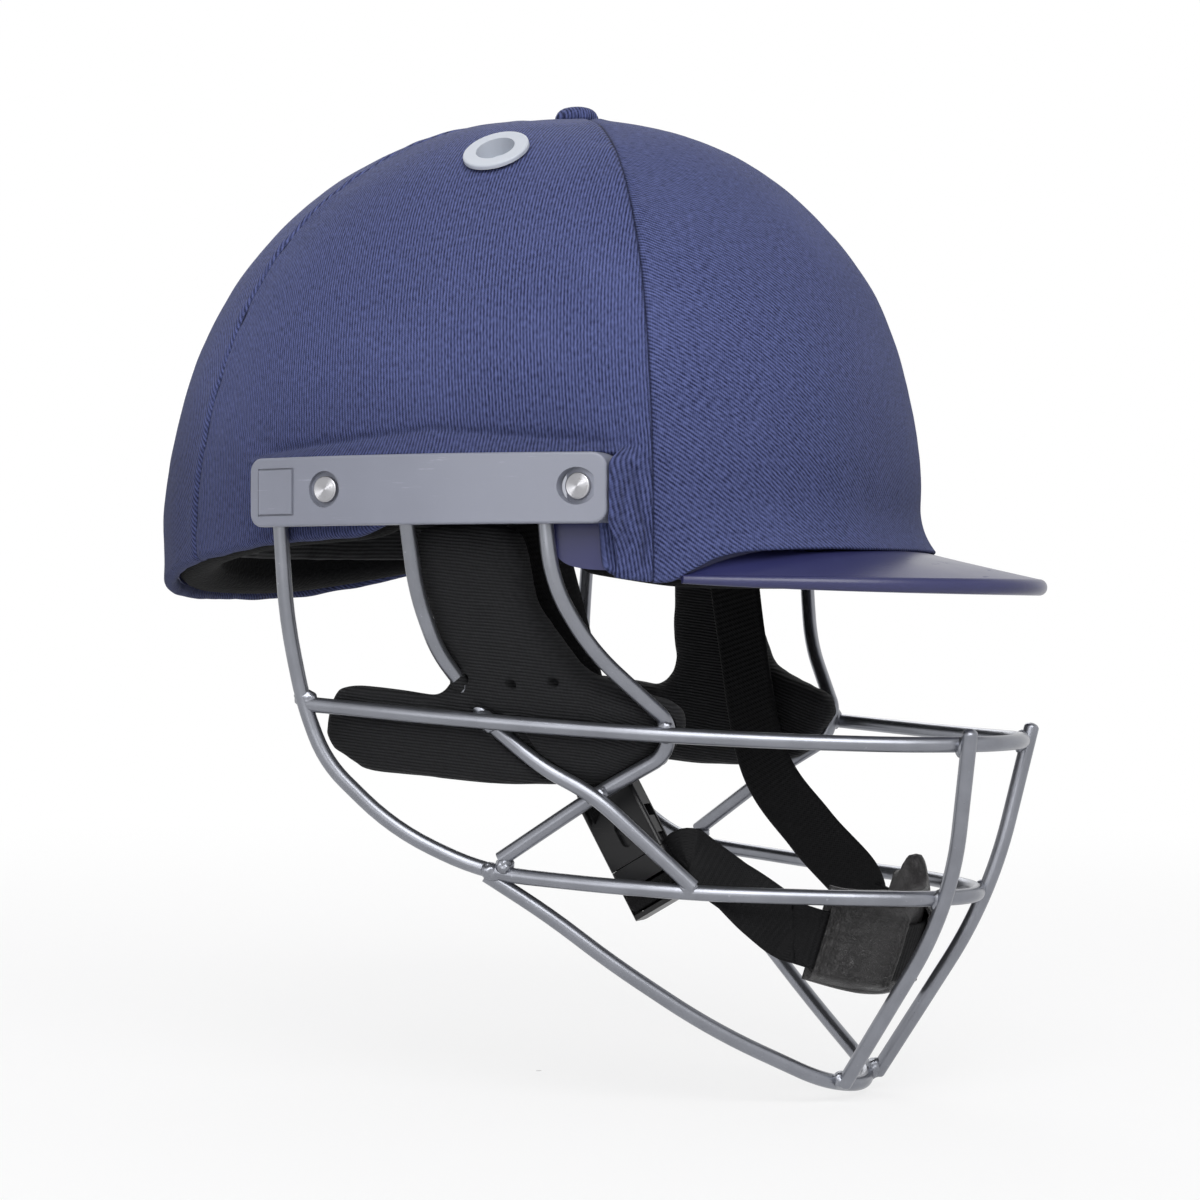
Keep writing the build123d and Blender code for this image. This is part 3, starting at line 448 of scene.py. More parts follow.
def webbing(name, colour):
    """Woven nylon webbing; its cross ribs are in the mesh, the yarns are here."""
    made = Finish(name, Roughness=0.6, Specular_IOR_Level=0.12)
    u, v, _ = made.split(made.place("UV", 100.0))
    warp = (u * (2 * math.pi / 0.9)).sin()
    weft = (v * (2 * math.pi / 1.3)).sin()
    yarn = (warp * weft) * 0.5 + 0.5
    fuzz = made.grain(made.join(u, v, 0.0), 1.4, 3.0)
    share = (yarn * 0.6 + (fuzz - 0.5) * 0.6 + 0.1).clamp()
    made.put("Base Color", made.mix(share, colour, tone(colour, 2.6, 0.006)))
    made.put("Roughness", 0.5 + yarn * 0.25)
    made.bump(yarn * 0.7 + fuzz * 0.3, 0.16, 0.8)
    return made.material


def leather(name, colour, shine=0.34):
    """Soft coated leather with fine creases."""
    made = Finish(name, Coat_Weight=0.12, Coat_Roughness=0.3)
    spot = made.place()
    pebble = made.cells(spot, 1.15).rise(0.0, 0.22)
    crease = made.grain(spot, 0.30, 5.0, 0.68, 1.6)
    lines = 1.0 - (crease - 0.5).abs().rise(0.0, 0.05)
    cloud = made.grain(spot, 0.05, 3.0)
    share = (cloud.rise(0.4, 0.7) * 0.6 + (1.0 - pebble) * 0.15).clamp()
    made.put("Base Color", made.mix(share, colour, tone(colour, 2.6, 0.015)))
    made.put("Roughness", shine + (cloud - 0.5) * 0.3 + lines * 0.1)
    made.bump(pebble * 0.2 + crease * 0.9 - lines * 0.3, 0.75, 1.0)
    return made.material


def stage_white(name, near_level, near, far):
    """Pale matt surface that the camera and mirrors see nearly white; it takes shadows near the helmet."""
    made = Finish(name, Roughness=0.95)
    made.put("Base Color", (0.80, 0.80, 0.81))
    path = made.node("ShaderNodeLightPath").socket.node
    seen = sum((Reading(made, path.outputs[f"Is {kind} Ray"]) for kind in ("Glossy", "Transmission")),
               Reading(made, path.outputs["Is Camera Ray"]))
    away = made.node("ShaderNodeVectorMath", {"operation": "LENGTH"}, {0: made.place()}, output=1)
    level = away.rise(near, far) * (1.0 - near_level) + near_level
    glow = made.node("ShaderNodeEmission", inputs={"Color": (1.0, 1.0, 1.0), "Strength": 1.0})
    shader = Reading(made, made.shader.outputs[0])
    both = made.node("ShaderNodeMixShader", inputs={0: seen.clamp() * level, 1: shader, 2: glow})
    out = made.tree.nodes["Material Output"]
    made.tree.links.new(both.socket, out.inputs["Surface"])
    return made.material


# Shapes

def smooth_line(points, at):
    """Height at each place of a smooth line through points, which never overshoots them."""
    px = np.array([p[0] for p in points])
    pz = np.array([p[1] for p in points])
    step = np.diff(px)
    slope = np.diff(pz) / step
    turn = np.zeros(len(px))
    same = slope[:-1] * slope[1:] > 0
    turn[1:-1][same] = 2 * slope[:-1][same] * slope[1:][same] / (slope[:-1][same] + slope[1:][same])
    i = np.clip(np.searchsorted(px, at) - 1, 0, len(step) - 1)
    t = np.clip((at - px[i]) / step[i], 0, 1)
    a = (1 + 2 * t) * (1 - t) ** 2 * pz[i] + t * (1 - t) ** 2 * step[i] * turn[i]
    return a + t * t * (3 - 2 * t) * pz[i + 1] + t * t * (t - 1) * step[i] * turn[i + 1]


def edge_line(shares, x):
    """Height of an edge at each x, from its shares of the dome's half length and height."""
    return smooth_line([(a * HALF_LENGTH, b * DOME_HEIGHT) for a, b in shares], x)


def ramp(value, low, high):
    """0 below low and 1 above high, softly."""
    t = np.clip((value - low) / (high - low), 0, 1)
    return t * t * (3 - 2 * t)


def bell(value, width):
    """1 at 0, falling softly on both sides to almost nothing at two widths."""
    return np.exp(-(value / width) ** 2)


def dome_value(p, inset):
    """Below 0 inside the dome whose surface lies inset inside the cloth."""
    z = np.clip(p[..., 2], 0, DOME_HEIGHT)
    scale = np.maximum(1 - (z / (DOME_HEIGHT - inset)) ** HEIGHT_POWER, 1e-9) ** (1 / HEIGHT_ROOT)
    x = np.abs(p[..., 0] - CROWN_FORWARD * (z / DOME_HEIGHT) ** CROWN_SHIFT_POWER)
    value = (x / ((HALF_LENGTH - inset) * scale)) ** PLAN_POWER
    value = value + (np.abs(p[..., 1]) / ((HALF_WIDTH - inset) * scale)) ** PLAN_POWER - 1
    return np.where(p[..., 2] > DOME_HEIGHT - inset, 1.0, value)


def dome_hit(azimuth, polar, inset):
    """Points of the dome on rays from below the button, angles in radians."""
    azimuth, polar = np.broadcast_arrays(azimuth, polar)
    ray = np.stack([np.sin(polar) * np.cos(azimuth), np.sin(polar) * np.sin(azimuth), np.cos(polar)], -1)
    base = np.array([BUTTON_X, 0.0, 0.0])
    low = np.zeros(azimuth.shape)
    high = np.full(azimuth.shape, 2 * HALF_LENGTH)
    for _ in range(36):
        middle = (low + high) / 2
        inside = dome_value(base + ray * middle[..., None], inset) < 0
        low = np.where(inside, middle, low)
        high = np.where(inside, high, middle)
    return base + ray * low[..., None]


def dome_normal(p, inset):
    """Outward direction of the dome at each point."""
    step = 0.05
    parts = [dome_value(p + np.eye(3)[i] * step, inset) - dome_value(p - np.eye(3)[i] * step, inset)
             for i in range(3)]
    normal = np.stack(parts, -1)
    return normal / np.maximum(np.linalg.norm(normal, axis=-1, keepdims=True), 1e-12)


def edge_polar(azimuth, inset, shares, rise=0.0):
    """Polar angle at which the dome meets a line that stands above its edge, at each azimuth."""
    low = np.full(azimuth.shape, math.radians(25))
    high = np.full(azimuth.shape, math.radians(97))
    for _ in range(30):
        middle = (low + high) / 2
        p = dome_hit(azimuth, middle, inset)
        above = p[..., 2] > edge_line(shares, p[..., 0]) + rise
        low = np.where(above, middle, low)
        high = np.where(above, high, middle)
    return low


def rough(points, size, seed):
    """Smooth random field from -1 to 1 over points in mm."""
    shift = Vector((seed * 7.31, seed * 3.17, seed * 5.77))
    flat = points.reshape(-1, 3)
    field = np.array([noise.noise(Vector(p) / size + shift) for p in flat])
    return field.reshape(points.shape[:-1])


def grid_faces(rows, columns, closed=False):
    """Four-sided faces over rows of points; closed joins each row's end to its start."""
    faces = []
    for r in range(rows - 1):
        for c in range(columns if closed else columns - 1):
            d = (c + 1) % columns
            faces.append((r * columns + c, r * columns + d, (r + 1) * columns + d, (r + 1) * columns + c))
    return faces


def end_faces(rows, columns):
    """The two faces that close rows of points, at the first row and at the last."""
    last = (rows - 1) * columns
    return [tuple(range(columns)), tuple(range(last + columns - 1, last - 1, -1))]


@contextmanager
def edited(mesh):
    """A mesh's points and faces, which are written back once the work on them is done."""
    work = bmesh.new()
    work.from_mesh(mesh)
    yield work
    work.to_mesh(mesh)
    work.free()


def add_object(name, data):
    """A new object in the scene."""
    made = bpy.data.objects.new(name, data)
    bpy.context.scene.collection.objects.link(made)
    return made


def new_piece(name, points, faces, body, material, uv=None, painted_shade_and_seams=None):
    """A smooth mesh piece from points in mm, riding on a body; its last argument darkens it from 0 to 1 with
    painted shade and dark seam lines.
    """
    mesh = bpy.data.meshes.new(name)
    mesh.from_pydata((np.asarray(points) * MM).tolist(), [], faces)
    mesh.shade_smooth()
    if uv is not None:
        layer = mesh.uv_layers.new(name="weave")
        order = np.zeros(len(mesh.loops), dtype=np.int32)
        mesh.loops.foreach_get("vertex_index", order)
        layer.data.foreach_set("uv", (np.asarray(uv)[order] / 100.0).astype(np.float32).ravel())
    if painted_shade_and_seams is not None:
        shades = mesh.color_attributes.new("painted_shade_and_seams", "FLOAT_COLOR", "POINT")
        grey = np.repeat(np.clip(painted_shade_and_seams, 0, 1).reshape(-1, 1), 4, axis=1)
        shades.data.foreach_set("color", grey.astype(np.float32).ravel())
    mesh.materials.append(material)
    mesh.validate()
    piece = add_object(name, mesh)
    if body:
        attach(piece, body)
    return piece


def face_outwards(piece):
    """Turns a closed piece's faces over where they look inwards."""
    work = bmesh.new()
    work.from_mesh(piece.data)
    if work.calc_volume(signed=True) < 0:
        piece.data.flip_normals()
    work.free()


def tree_of(name):
    """Search tree of a packed node, in metres."""
    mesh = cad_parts[name].data
    return BVHTree.FromPolygons([v.co.copy() for v in mesh.vertices], [p.vertices[:] for p in mesh.polygons])


def paint_nodes(names, material):
    """Gives packed nodes a material."""
    for name in names:
        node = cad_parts[name]
        if not node.material_slots:
            node.data.materials.append(material)
        for place in node.material_slots:
            place.material = material


# Cloth cover

def near_line(x, z, line):
    """Distance in a side view from a bent line, and how far along it, from 0 to 1."""
    best = np.full(x.shape, 1e9)
    along = np.zeros(x.shape)
    total = sum(math.dist(a, b) for a, b in zip(line, line[1:]))
    gone = 0.0
    for a, b in zip(line, line[1:]):
        length = math.dist(a, b)
        ux, uz = (b[0] - a[0]) / length, (b[1] - a[1]) / length
        t = np.clip((x - a[0]) * ux + (z - a[1]) * uz, 0, length)
        away = np.hypot(x - a[0] - t * ux, z - a[1] - t * uz)
        closer = away < best
        best = np.where(closer, away, best)
        along = np.where(closer, (gone + t) / total, along)
        gone += length
    return best, along


def fade(along):
    """Strength along a crease, none at its ends."""
    return ramp(along, 0, 0.18) * ramp(1 - along, 0, 0.12)


def cover_relief(p, arc, seams, seed):
    """How far the cloth stands off the dome, how far it stands out sideways, in mm, and how much painted
    shade and dark seam line it gets.
    """
    x, y, z = p[..., 0], p[..., 1], p[..., 2]
    away = ramp(arc, 6, 26)
    relief = 0.55 * rough(p, 42, 2) + 0.22 * rough(p, 15, 5) + 0.07 * rough(p, 5, 7)
    relief *= 0.35 + 0.65 * away
    # fuller front and rear, and the flare over the root of the peak
    relief += FRONT_FULLNESS * ramp(x, 40, 100) * ramp(z, 18, 50) * (1 - ramp(z, 100, 138))
    relief += REAR_FULLNESS * ramp(-x, 60, 112) * ramp(z, 10, 32) * (1 - ramp(z, 105, 140))
    relief += FLARE * np.clip((33.5 - z) / 16.5, 0, 1.1) ** 2.2 * ramp(x, 92, 116)
    # painted shade: darker low on the dome, less so at the front, and darker towards the rear
    painted_shade_and_seams = 0.34 * (1 - ramp(z, 36, 84)) * (1 - 0.55 * ramp(x, 55, 95)) + 0.22 * ramp(-x, 70, 120)
    for index, seam in enumerate(seams):
        along = np.stack([arc, np.full(arc.shape, 9.0 * index), seam * 0.5], -1)
        pull = rough(along, 7.5, seed + 11 + index)
        relief += (0.25 * bell(seam - 3.0, 1.9) - SEAM_DEPTH * bell(seam, 1.0)) * (0.35 + 0.65 * away)
        relief += 0.55 * pull * bell(seam - 2.5, 4.0) * away
        # dark stitched line along the seam
        painted_shade_and_seams = np.maximum(painted_shade_and_seams, bell(seam, 0.42) * away)
    # bulge over the guard block, and the fold above it
    sides = ramp(np.abs(y), 60, 75)
    fold_z = np.interp(x, *zip(*FOLD))
    reach = options("helmet_cloth").bulge * ramp(x, -58, -34) * ramp(-x, -84, -64)
    reach *= 1 + 0.18 * rough(p, 14, seed + 21)
    share = np.clip((fold_z - z) / np.maximum(fold_z - BLOCK_TOP, 0.5), 0, 1.1)
    relief += reach * share ** 1.2 * ramp(z, BLOCK_TOP - 1.6, BLOCK_TOP - 0.2) * sides
    fold = bell(z - fold_z - 0.8, 1.5) * sides * ramp(x, -52, -38) * ramp(-x, -82, -70)
    relief -= 0.55 * fold
    # painted shade in the fold above the block
    painted_shade_and_seams = np.maximum(painted_shade_and_seams, 0.5 * fold)
    # the cloth wraps the block's front end
    drop = np.clip((x - BLOCK_FRONT - 0.4) / 8.0, 0, 1)
    wrap = ramp(x, BLOCK_FRONT - 0.7, BLOCK_FRONT + 0.4) * (1 - drop) ** 1.3 * (1 - ramp(z, 41.5, 47.5))
    wrap *= WRAP * (0.30 + 0.70 * ramp(z, 13, 25)) * sides * (1 + 0.12 * rough(p, 6, 41))
    # upright wrinkles ahead of the block
    for line, depth, width in WRINKLES:
        near, along = near_line(x, z, line)
        strength = depth * fade(along) * sides * ramp(x, 60, 68)
        relief += strength * (0.45 * bell(near - 2.6 * width, 1.3 * width) - bell(near, width))
        # painted shade in the valleys of the wrinkles
        painted_shade_and_seams = np.maximum(painted_shade_and_seams, 0.45 * strength * bell(near, 0.7 * width))
    # soft drag lines above the block's ends
    for line, depth, width in DRAG_LINES:
        near, along = near_line(x, z, line)
        relief -= depth * bell(near, width) * fade(along) * sides
    # smooth round the vent
    vent = np.sqrt((x - EYELET[0]) ** 2 + (np.abs(y) - EYELET[1]) ** 2 + (z - EYELET[2]) ** 2)
    return relief * ramp(vent, 9, 17), wrap, painted_shade_and_seams


def hem_roll(p, normal, size, seed):
    """Rows of points that roll the cloth inwards round its edge and a little way back up."""
    edge = p[-1]
    down = np.cross(np.gradient(edge, axis=0), normal)
    down = down / np.maximum(np.linalg.norm(down, axis=-1, keepdims=True), 1e-9)
    facing = np.sign(np.sum(down * (edge - p[-6]), axis=-1, keepdims=True))
    down = down * np.where(facing == 0, 1, facing)
    x = edge[:, 0]
    radius = 0.8 + (size - 0.8) * (1 - ramp(x, 22, 40)) + 0.9 * ramp(x, 72, 76) * (1 - ramp(x, 88, 96))
    radius = radius * (1 + 0.18 * rough(edge, 9, seed + 31))
    tail = 5.0 * (1 - ramp(x, 22, 40)) + 1.0
    rolls = []
    for angle in np.linspace(0, math.pi, 12)[1:]:
        rolls.append(edge + (down * math.sin(angle) - normal * (1 - math.cos(angle))) * radius[:, None])
    rolls += [rolls[-1] - down * (tail * share)[:, None] for share in (0.35, 1.0)]
    return np.stack(rolls)


def cloth_panel(name, node, start, end, side, lean, seed):
    """One panel of the cover from the button to its rolled hem; angles in degrees."""
    cloth = options("helmet_cloth")
    middle = np.linspace(start + 1.2, end - 1.2, 150)
    edges = np.array([0.0, 0.12, 0.3, 0.55, 0.85])
    azimuth = np.radians(np.concatenate([start + edges, middle, (end - edges)[::-1]]))
    if side:
        # closer columns where the cloth wraps the block's front end
        steep = np.radians(side * np.concatenate([np.linspace(51.8, 56.8, 32), np.linspace(57.0, 60.6, 26)]))
        azimuth = np.unique(np.round(np.concatenate([azimuth, steep]), 6))
    hem = edge_polar(azimuth, 0.0, HEM)
    rows = np.concatenate([0.75 * np.linspace(0, 1, 100)[:-1] ** 0.95, np.linspace(0.75, 1.0, 90)])
    first = math.radians(1.6)
    polar = first + (hem[None, :] - first) * rows[:, None]
    p = dome_hit(azimuth[None, :], polar, 0.0)
    normal = dome_normal(p, 0.0)
    run = np.linalg.norm(np.diff(p, axis=0), axis=-1)
    arc = np.concatenate([np.zeros((1, len(azimuth))), np.cumsum(run, axis=0)]) + 4.5
    flat = np.hypot(p[..., 0] - BUTTON_X, p[..., 1])
    low, high = azimuth[0], azimuth[-1]
    seams = [flat * np.sin(np.clip(azimuth[None, :] - low, 0, math.pi / 2)),
             flat * np.sin(np.clip(high - azimuth[None, :], 0, math.pi / 2))]
    relief, wrap, painted_shade_and_seams = cover_relief(p, arc, seams, seed)
    p = p + normal * relief[..., None]
    p[..., 1] += np.sign(p[..., 1]) * wrap
    rolls = hem_roll(p, normal[-1], cloth.hem, seed)
    whole = np.concatenate([p, rolls])
    centre = (low + high) / 2
    run = np.linalg.norm(np.diff(np.concatenate([p[-1:], rolls]), axis=0), axis=-1)
    arc = np.concatenate([arc, arc[-1:] + np.cumsum(run, axis=0)])
    spread = np.concatenate([flat, np.repeat(flat[-1:], len(rolls), axis=0)]) * (azimuth - centre)[None, :]
    uv = np.stack([spread, arc], -1).reshape(-1, 2)
    # painted shade on the rolled hem, deeper where it turns under
    hem_painted_shade = np.linspace(0.15, 0.8, len(rolls))[:, None] * np.ones(len(azimuth))[None, :]
    painted_shade_and_seams = np.concatenate([painted_shade_and_seams, np.maximum(hem_painted_shade, painted_shade_and_seams[-1:])])
    points = whole.reshape(-1, 3)
    # no faces at the vents, and no points that are then left over
    vents = [Vector((EYELET[0], s * EYELET[1], EYELET[2])) for s in (-1, 1)]
    faces = [face for face in grid_faces(*whole.shape[:2])
             if all((Vector(points[face[0]]) - vent).length > EYELET_HOLE for vent in vents)]
    material = twill(f"{name}_twill", lean, cloth.navy, cloth.shade, cloth.pitch)
    piece = new_piece(name, points, faces, "helmet", material, uv, painted_shade_and_seams)
    with edited(piece.data) as work:
        bmesh.ops.delete(work, geom=[v for v in work.verts if not v.link_faces], context="VERTS")
    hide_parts(node)
    width = float(spread[:, -1].max() - spread[:, 0].min()) * MM


class HELMET_OT_cover(bpy.types.Operator):
    """Sew the four cloth panels over the shell"""
    bl_idname = "helmet.cover"
    bl_label = "Cloth cover"

    def execute(self, context):
        cloth = options("helmet_cloth")
        panels = [("front_panel", -FRONT_SEAM, FRONT_SEAM, 0, cloth.front_ribs),
                  ("side_panel_right", -REAR_SEAM, -FRONT_SEAM, -1, cloth.side_ribs),
                  ("side_panel_left", FRONT_SEAM, REAR_SEAM, 1, cloth.side_ribs),
                  ("rear_panel", REAR_SEAM, 360 - REAR_SEAM, 0, cloth.front_ribs)]
        for seed, (name, *rest) in enumerate(panels, 1):
            cloth_panel(f"cloth_{name}", f"cover_{name}", *rest, seed)
        return {"FINISHED"}


def lathe(profile, columns, wobble=None):
    """Points and faces of a turned form; profile is (radius, height) from the axis outwards."""
    points = []
    for radius, height in profile:
        for c in range(columns):
            a = 2 * math.pi * c / columns
            r, h = (radius, height) if wobble is None else wobble(radius, height, a)
            points.append((r * math.cos(a), r * math.sin(a), h))
    return points, grid_faces(len(profile), columns, closed=True)


class HELMET_OT_button(bpy.types.Operator):
    """Cloth-covered button at the crown"""
    bl_idname = "helmet.button"
    bl_label = "Crown button"

    def execute(self, context):
        cloth = options("helmet_cloth")
        profile = [(0.02, 5.3), (1.6, 5.25), (3.2, 5.05), (4.7, 4.65), (5.9, 4.0), (6.8, 3.1), (7.35, 2.0),
                   (7.5, 1.0), (7.3, 0.1), (6.7, -0.6), (5.6, -1.0)]

        def gather(radius, height, a):
            pull = 0.16 * math.sin(11 * a + 0.6) + 0.1 * math.sin(17 * a)
            return radius + pull * (radius / 7.5) ** 4, height - 0.1 * math.sin(3 * a) * (radius / 7.5) ** 2

        points, faces = lathe(profile, 72, gather)
        points = [(x + BUTTON_X, y, z + DOME_HEIGHT + 0.2) for x, y, z in points]
        uv = [(x * 1.1, y * 1.1) for x, y, _ in points]
        material = twill("button_twill", 0.9, cloth.navy, cloth.shade, cloth.pitch)
        # painted shade on the underside of the button, where it meets the dome
        painted_shade_and_seams = np.array([0.7 * max(0.0, (DOME_HEIGHT + 1.2 - q[2]) / 2.2) for q in points])
        faces = [f[::-1] for f in faces]
        piece = new_piece("cloth_button", points, faces, "helmet", material, uv, painted_shade_and_seams)
        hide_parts("cover_button")
        return {"FINISHED"}


# Foam liner and pads

class HELMET_OT_liner(bpy.types.Operator):
    """Moulded foam liner with air channels and a rounded lip"""
    bl_idname = "helmet.liner"
    bl_label = "Foam liner"

    def execute(self, context):
        azimuth = np.radians(np.linspace(0, 360, 240, endpoint=False))
        rows = np.linspace(0.02, 1, 56)
        outer, inner = (dome_hit(azimuth[None, :], rows[:, None] * edge_polar(azimuth, inset, RIM, LINER_LIP),
                                 inset) for inset in (LINER_OUTER, LINER_INNER))
        height = inner[..., 2]
        flat = np.hypot(inner[..., 0] - BUTTON_X, inner[..., 1])
        channel = np.zeros(height.shape)
        for degrees in AIR_CHANNELS:
            near = np.abs((np.degrees(azimuth) - degrees + 180) % 360 - 180)
            channel = np.maximum(channel, np.exp(-(np.radians(near)[None, :] * flat / 4.5) ** 6))
        channel = channel * ramp(height, 26, 36) * (1 - ramp(height, 132, 142))
        channel = np.maximum(channel, np.exp(-((height - 92) / 5.0) ** 6))
        inner = inner + dome_normal(inner, LINER_INNER) * (4.0 * channel)[..., None]
        start, end = outer[-1], inner[-1]
        middle = (start + end) / 2
        half = (start - end) / 2
        down = np.array([0.0, 0.0, -1.0]) * 4.3
        lip = [middle + half * math.cos(a) + down * math.sin(a) for a in np.linspace(0, math.pi, 12)[1:-1]]
        whole = np.concatenate([outer, np.stack(lip), inner[::-1]])
        faces = grid_faces(*whole.shape[:2], closed=True) + end_faces(*whole.shape[:2])
        piece = new_piece("foam_liner", whole.reshape(-1, 3), faces, "helmet", foam("liner_foam_beads"))
        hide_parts("impact_liner")
        return {"FINISHED"}


def voxel_copy(name, node, voxel, shrink):
    """A finer closed copy of a node's solid, a little smaller, ready to swell."""
    piece = add_object(name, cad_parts[node].data.copy())
    weld = piece.modifiers.new("weld", "WELD")
    weld.merge_threshold = 0.00002
    remesh = piece.modifiers.new("remesh", "REMESH")
    remesh.mode = "VOXEL"
    remesh.voxel_size = voxel
    settle(piece)
    with edited(piece.data) as work:
        work.normal_update()
        for v in work.verts:
            v.co = v.co - v.normal * shrink
    return piece


def settle(piece):
    """Applies every modifier of a piece."""
    graph = bpy.context.evaluated_depsgraph_get()
    mesh = bpy.data.meshes.new_from_object(piece.evaluated_get(graph))
    old = piece.data
    piece.modifiers.clear()
    piece.data = mesh
    mesh.name = piece.name
    bpy.data.meshes.remove(old)


def swell(pieces, pressure, limit):
    """Blows soft pieces up a little, all at once, and keeps the result."""
    before = [[v.co.copy() for v in piece.data.vertices] for piece in pieces]
    for piece in pieces:
        soft = piece.modifiers.new("soft", "CLOTH")
        soft.settings.use_pressure = True
        soft.settings.uniform_pressure_force = pressure
        soft.settings.effector_weights.gravity = 0
        soft.settings.quality = 4
        soft.point_cache.frame_start = 1
        soft.point_cache.frame_end = SWELL_FRAMES
    for number in range(1, SWELL_FRAMES + 1):
        bpy.context.scene.frame_set(number)
    for piece in pieces:
        settle(piece)
    bpy.context.scene.frame_set(1)
    for piece, rest in zip(pieces, before):
        for v, start in zip(piece.data.vertices, rest):
            move = v.co - start
            if move.length > limit:
                v.co = start + move * (limit / move.length)
        smooth = piece.modifiers.new("smooth", "SMOOTH")
        smooth.factor = 0.5
        smooth.iterations = 2
        finer = piece.modifiers.new("finer", "SUBSURF")
        finer.levels = finer.render_levels = 1
        settle(piece)
        piece.data.shade_smooth()


def mirrored_copy(piece, name):
    """The same piece on the other side of the helmet."""
    mesh = piece.data.copy()
    mesh.name = name
    mesh.transform(Matrix.Diagonal((1, -1, 1, 1)))
    mesh.flip_normals()
    return add_object(name, mesh)


def finish_pad(piece, node, material):
    """Covers a pad in its cloth and puts it in place of a node."""
    piece.data.materials.clear()
    piece.data.materials.append(material)
    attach(piece, "helmet")
    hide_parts(node)


def carve_cheek(piece):
    """Sinks the wire channels, the breather holes and the crease into the cheek pad."""
    holes, crease = ([(x * REACH, z * DROP) for x, z in shares] for shares in (BREATHERS, CHEEK_CREASE))
    wires = [tree_of(n) for n in ("guard_front_wire_right", "guard_cross_wire_right", "guard_top_bar")]

    def crease_at(x, z):
        near, along = near_line(np.array([x]), np.array([z]), crease)
        return near[0], along[0]

    def wanted(v):
        x, z = v.co.x / MM, v.co.z / MM
        if v.normal.y > -0.4:
            return False
        return crease_at(x, z)[0] < 4 or any(math.hypot(x - a, z - b) < 5 for a, b in holes)

    with edited(piece.data) as work:
        for _ in range(2):
            work.normal_update()
            near = {v for v in work.verts if wanted(v)}
            edges = [e for e in work.edges if e.verts[0] in near and e.verts[1] in near]
            bmesh.ops.subdivide_edges(work, edges=edges, cuts=1, use_grid_fill=True)
        bmesh.ops.triangulate(work, faces=[f for f in work.faces if len(f.verts) > 4])
        work.normal_update()
        for v in work.verts:
            x, z = v.co.x / MM, v.co.z / MM
            move = 0.0
            if v.normal.y < -0.3:
                near, along = crease_at(x, z)
                move += 1.5 * bell(near, 0.9) * float(fade(along))
                for a, b in holes:
                    away = math.hypot(x - a, z - b)
                    move += 3.2 * float(1 - ramp(away, 1.0, 1.9)) + 0.4 * bell(away, 3.2)
            v.co.y += move * MM
            for wire in wires:
                spot, normal, _, away = wire.find_nearest(v.co, 0.006)
                if spot is None:
                    continue
                if (v.co - spot).dot(normal) < 0 or away < WIRE_GAP * MM:
                    v.co = spot + normal * (WIRE_GAP * MM)
                elif away < WIRE_ROOM * MM:
                    v.co.y += (WIRE_ROOM * MM - away) * 0.25


class HELMET_OT_pads(bpy.types.Operator):
    """Comfort pads and cheek pads, swollen by a cloth simulation"""
    bl_idname = "helmet.pads"
    bl_label = "Pads"

    def execute(self, context):
        pad = options("helmet_padding")
        names = [("pad_crown", "crown_pad"), ("pad_brow", "brow_pad"), ("pad_nape", "nape_pad"),
                 ("pad_side_right", "side_comfort_pad_right")]
        pieces = [voxel_copy(name, node, pad.voxel * 0.75, 0.0008) for name, node in names]
        cheek = voxel_copy("cheek_cushion_right", "cheek_pad_right", pad.voxel * 0.75, 0.0006)
        swell(pieces, pad.pressure, pad.swell * 0.35)
        swell([cheek], pad.pressure, pad.swell * 0.5)
        carve_cheek(cheek)
        inner = ribbed_cloth("pad_lining_cloth", pad.cloth, 1.4, 0.0)
        outer = ribbed_cloth("cheek_cloth", pad.cloth)
        for piece, (_, node) in zip(pieces, names):
            finish_pad(piece, node, inner)
        twin = mirrored_copy(pieces[3], "pad_side_left")
        finish_pad(twin, "side_comfort_pad_left", inner)
        cheek.data.shade_smooth()
        finish_pad(cheek, "cheek_pad_right", outer)
        finish_pad(mirrored_copy(cheek, "cheek_cushion_left"), "cheek_pad_left", outer)
        return {"FINISHED"}


# Webbing, buckle and chin cup

def smooth_stations(stations):
    """Even places, directions and width directions along a soft curve through the stations."""
    places = [Vector(p) for p, _ in stations]
    widths = [Vector(w).normalized() for _, w in stations]
    places = [places[0] * 2 - places[1]] + places + [places[-1] * 2 - places[-2]]
    widths = [widths[0]] + widths + [widths[-1]]
    dense, wide = [], []
    for i in range(1, len(places) - 2):
        a, b, c, d = places[i - 1:i + 3]
        count = max(int((c - b).length / 0.5), 2)
        for k in range(count):
            t = k / count
            dense.append(0.5 * ((2 * b) + (c - a) * t + (2 * a - 5 * b + 4 * c - d) * t ** 2
                                + (3 * b - a - 3 * c + d) * t ** 3))
            wide.append(widths[i].lerp(widths[i + 1], t))
    dense.append(places[-2])
    wide.append(widths[-1])
    lengths = [0.0]
    for a, b in zip(dense, dense[1:]):
        lengths.append(lengths[-1] + (b - a).length)
    marks = np.linspace(0, lengths[-1], int(lengths[-1] / WEB_STEP) + 1)
    even, across = (np.stack([np.interp(marks, lengths, [v[i] for v in row]) for i in range(3)], -1)
                    for row in (dense, wide))
    along = np.gradient(even, axis=0)
    along = along / np.linalg.norm(along, axis=1, keepdims=True)
    across = across - along * np.sum(across * along, axis=1, keepdims=True)
    across = across / np.linalg.norm(across, axis=1, keepdims=True)
    return even, across, np.cross(along, across), marks


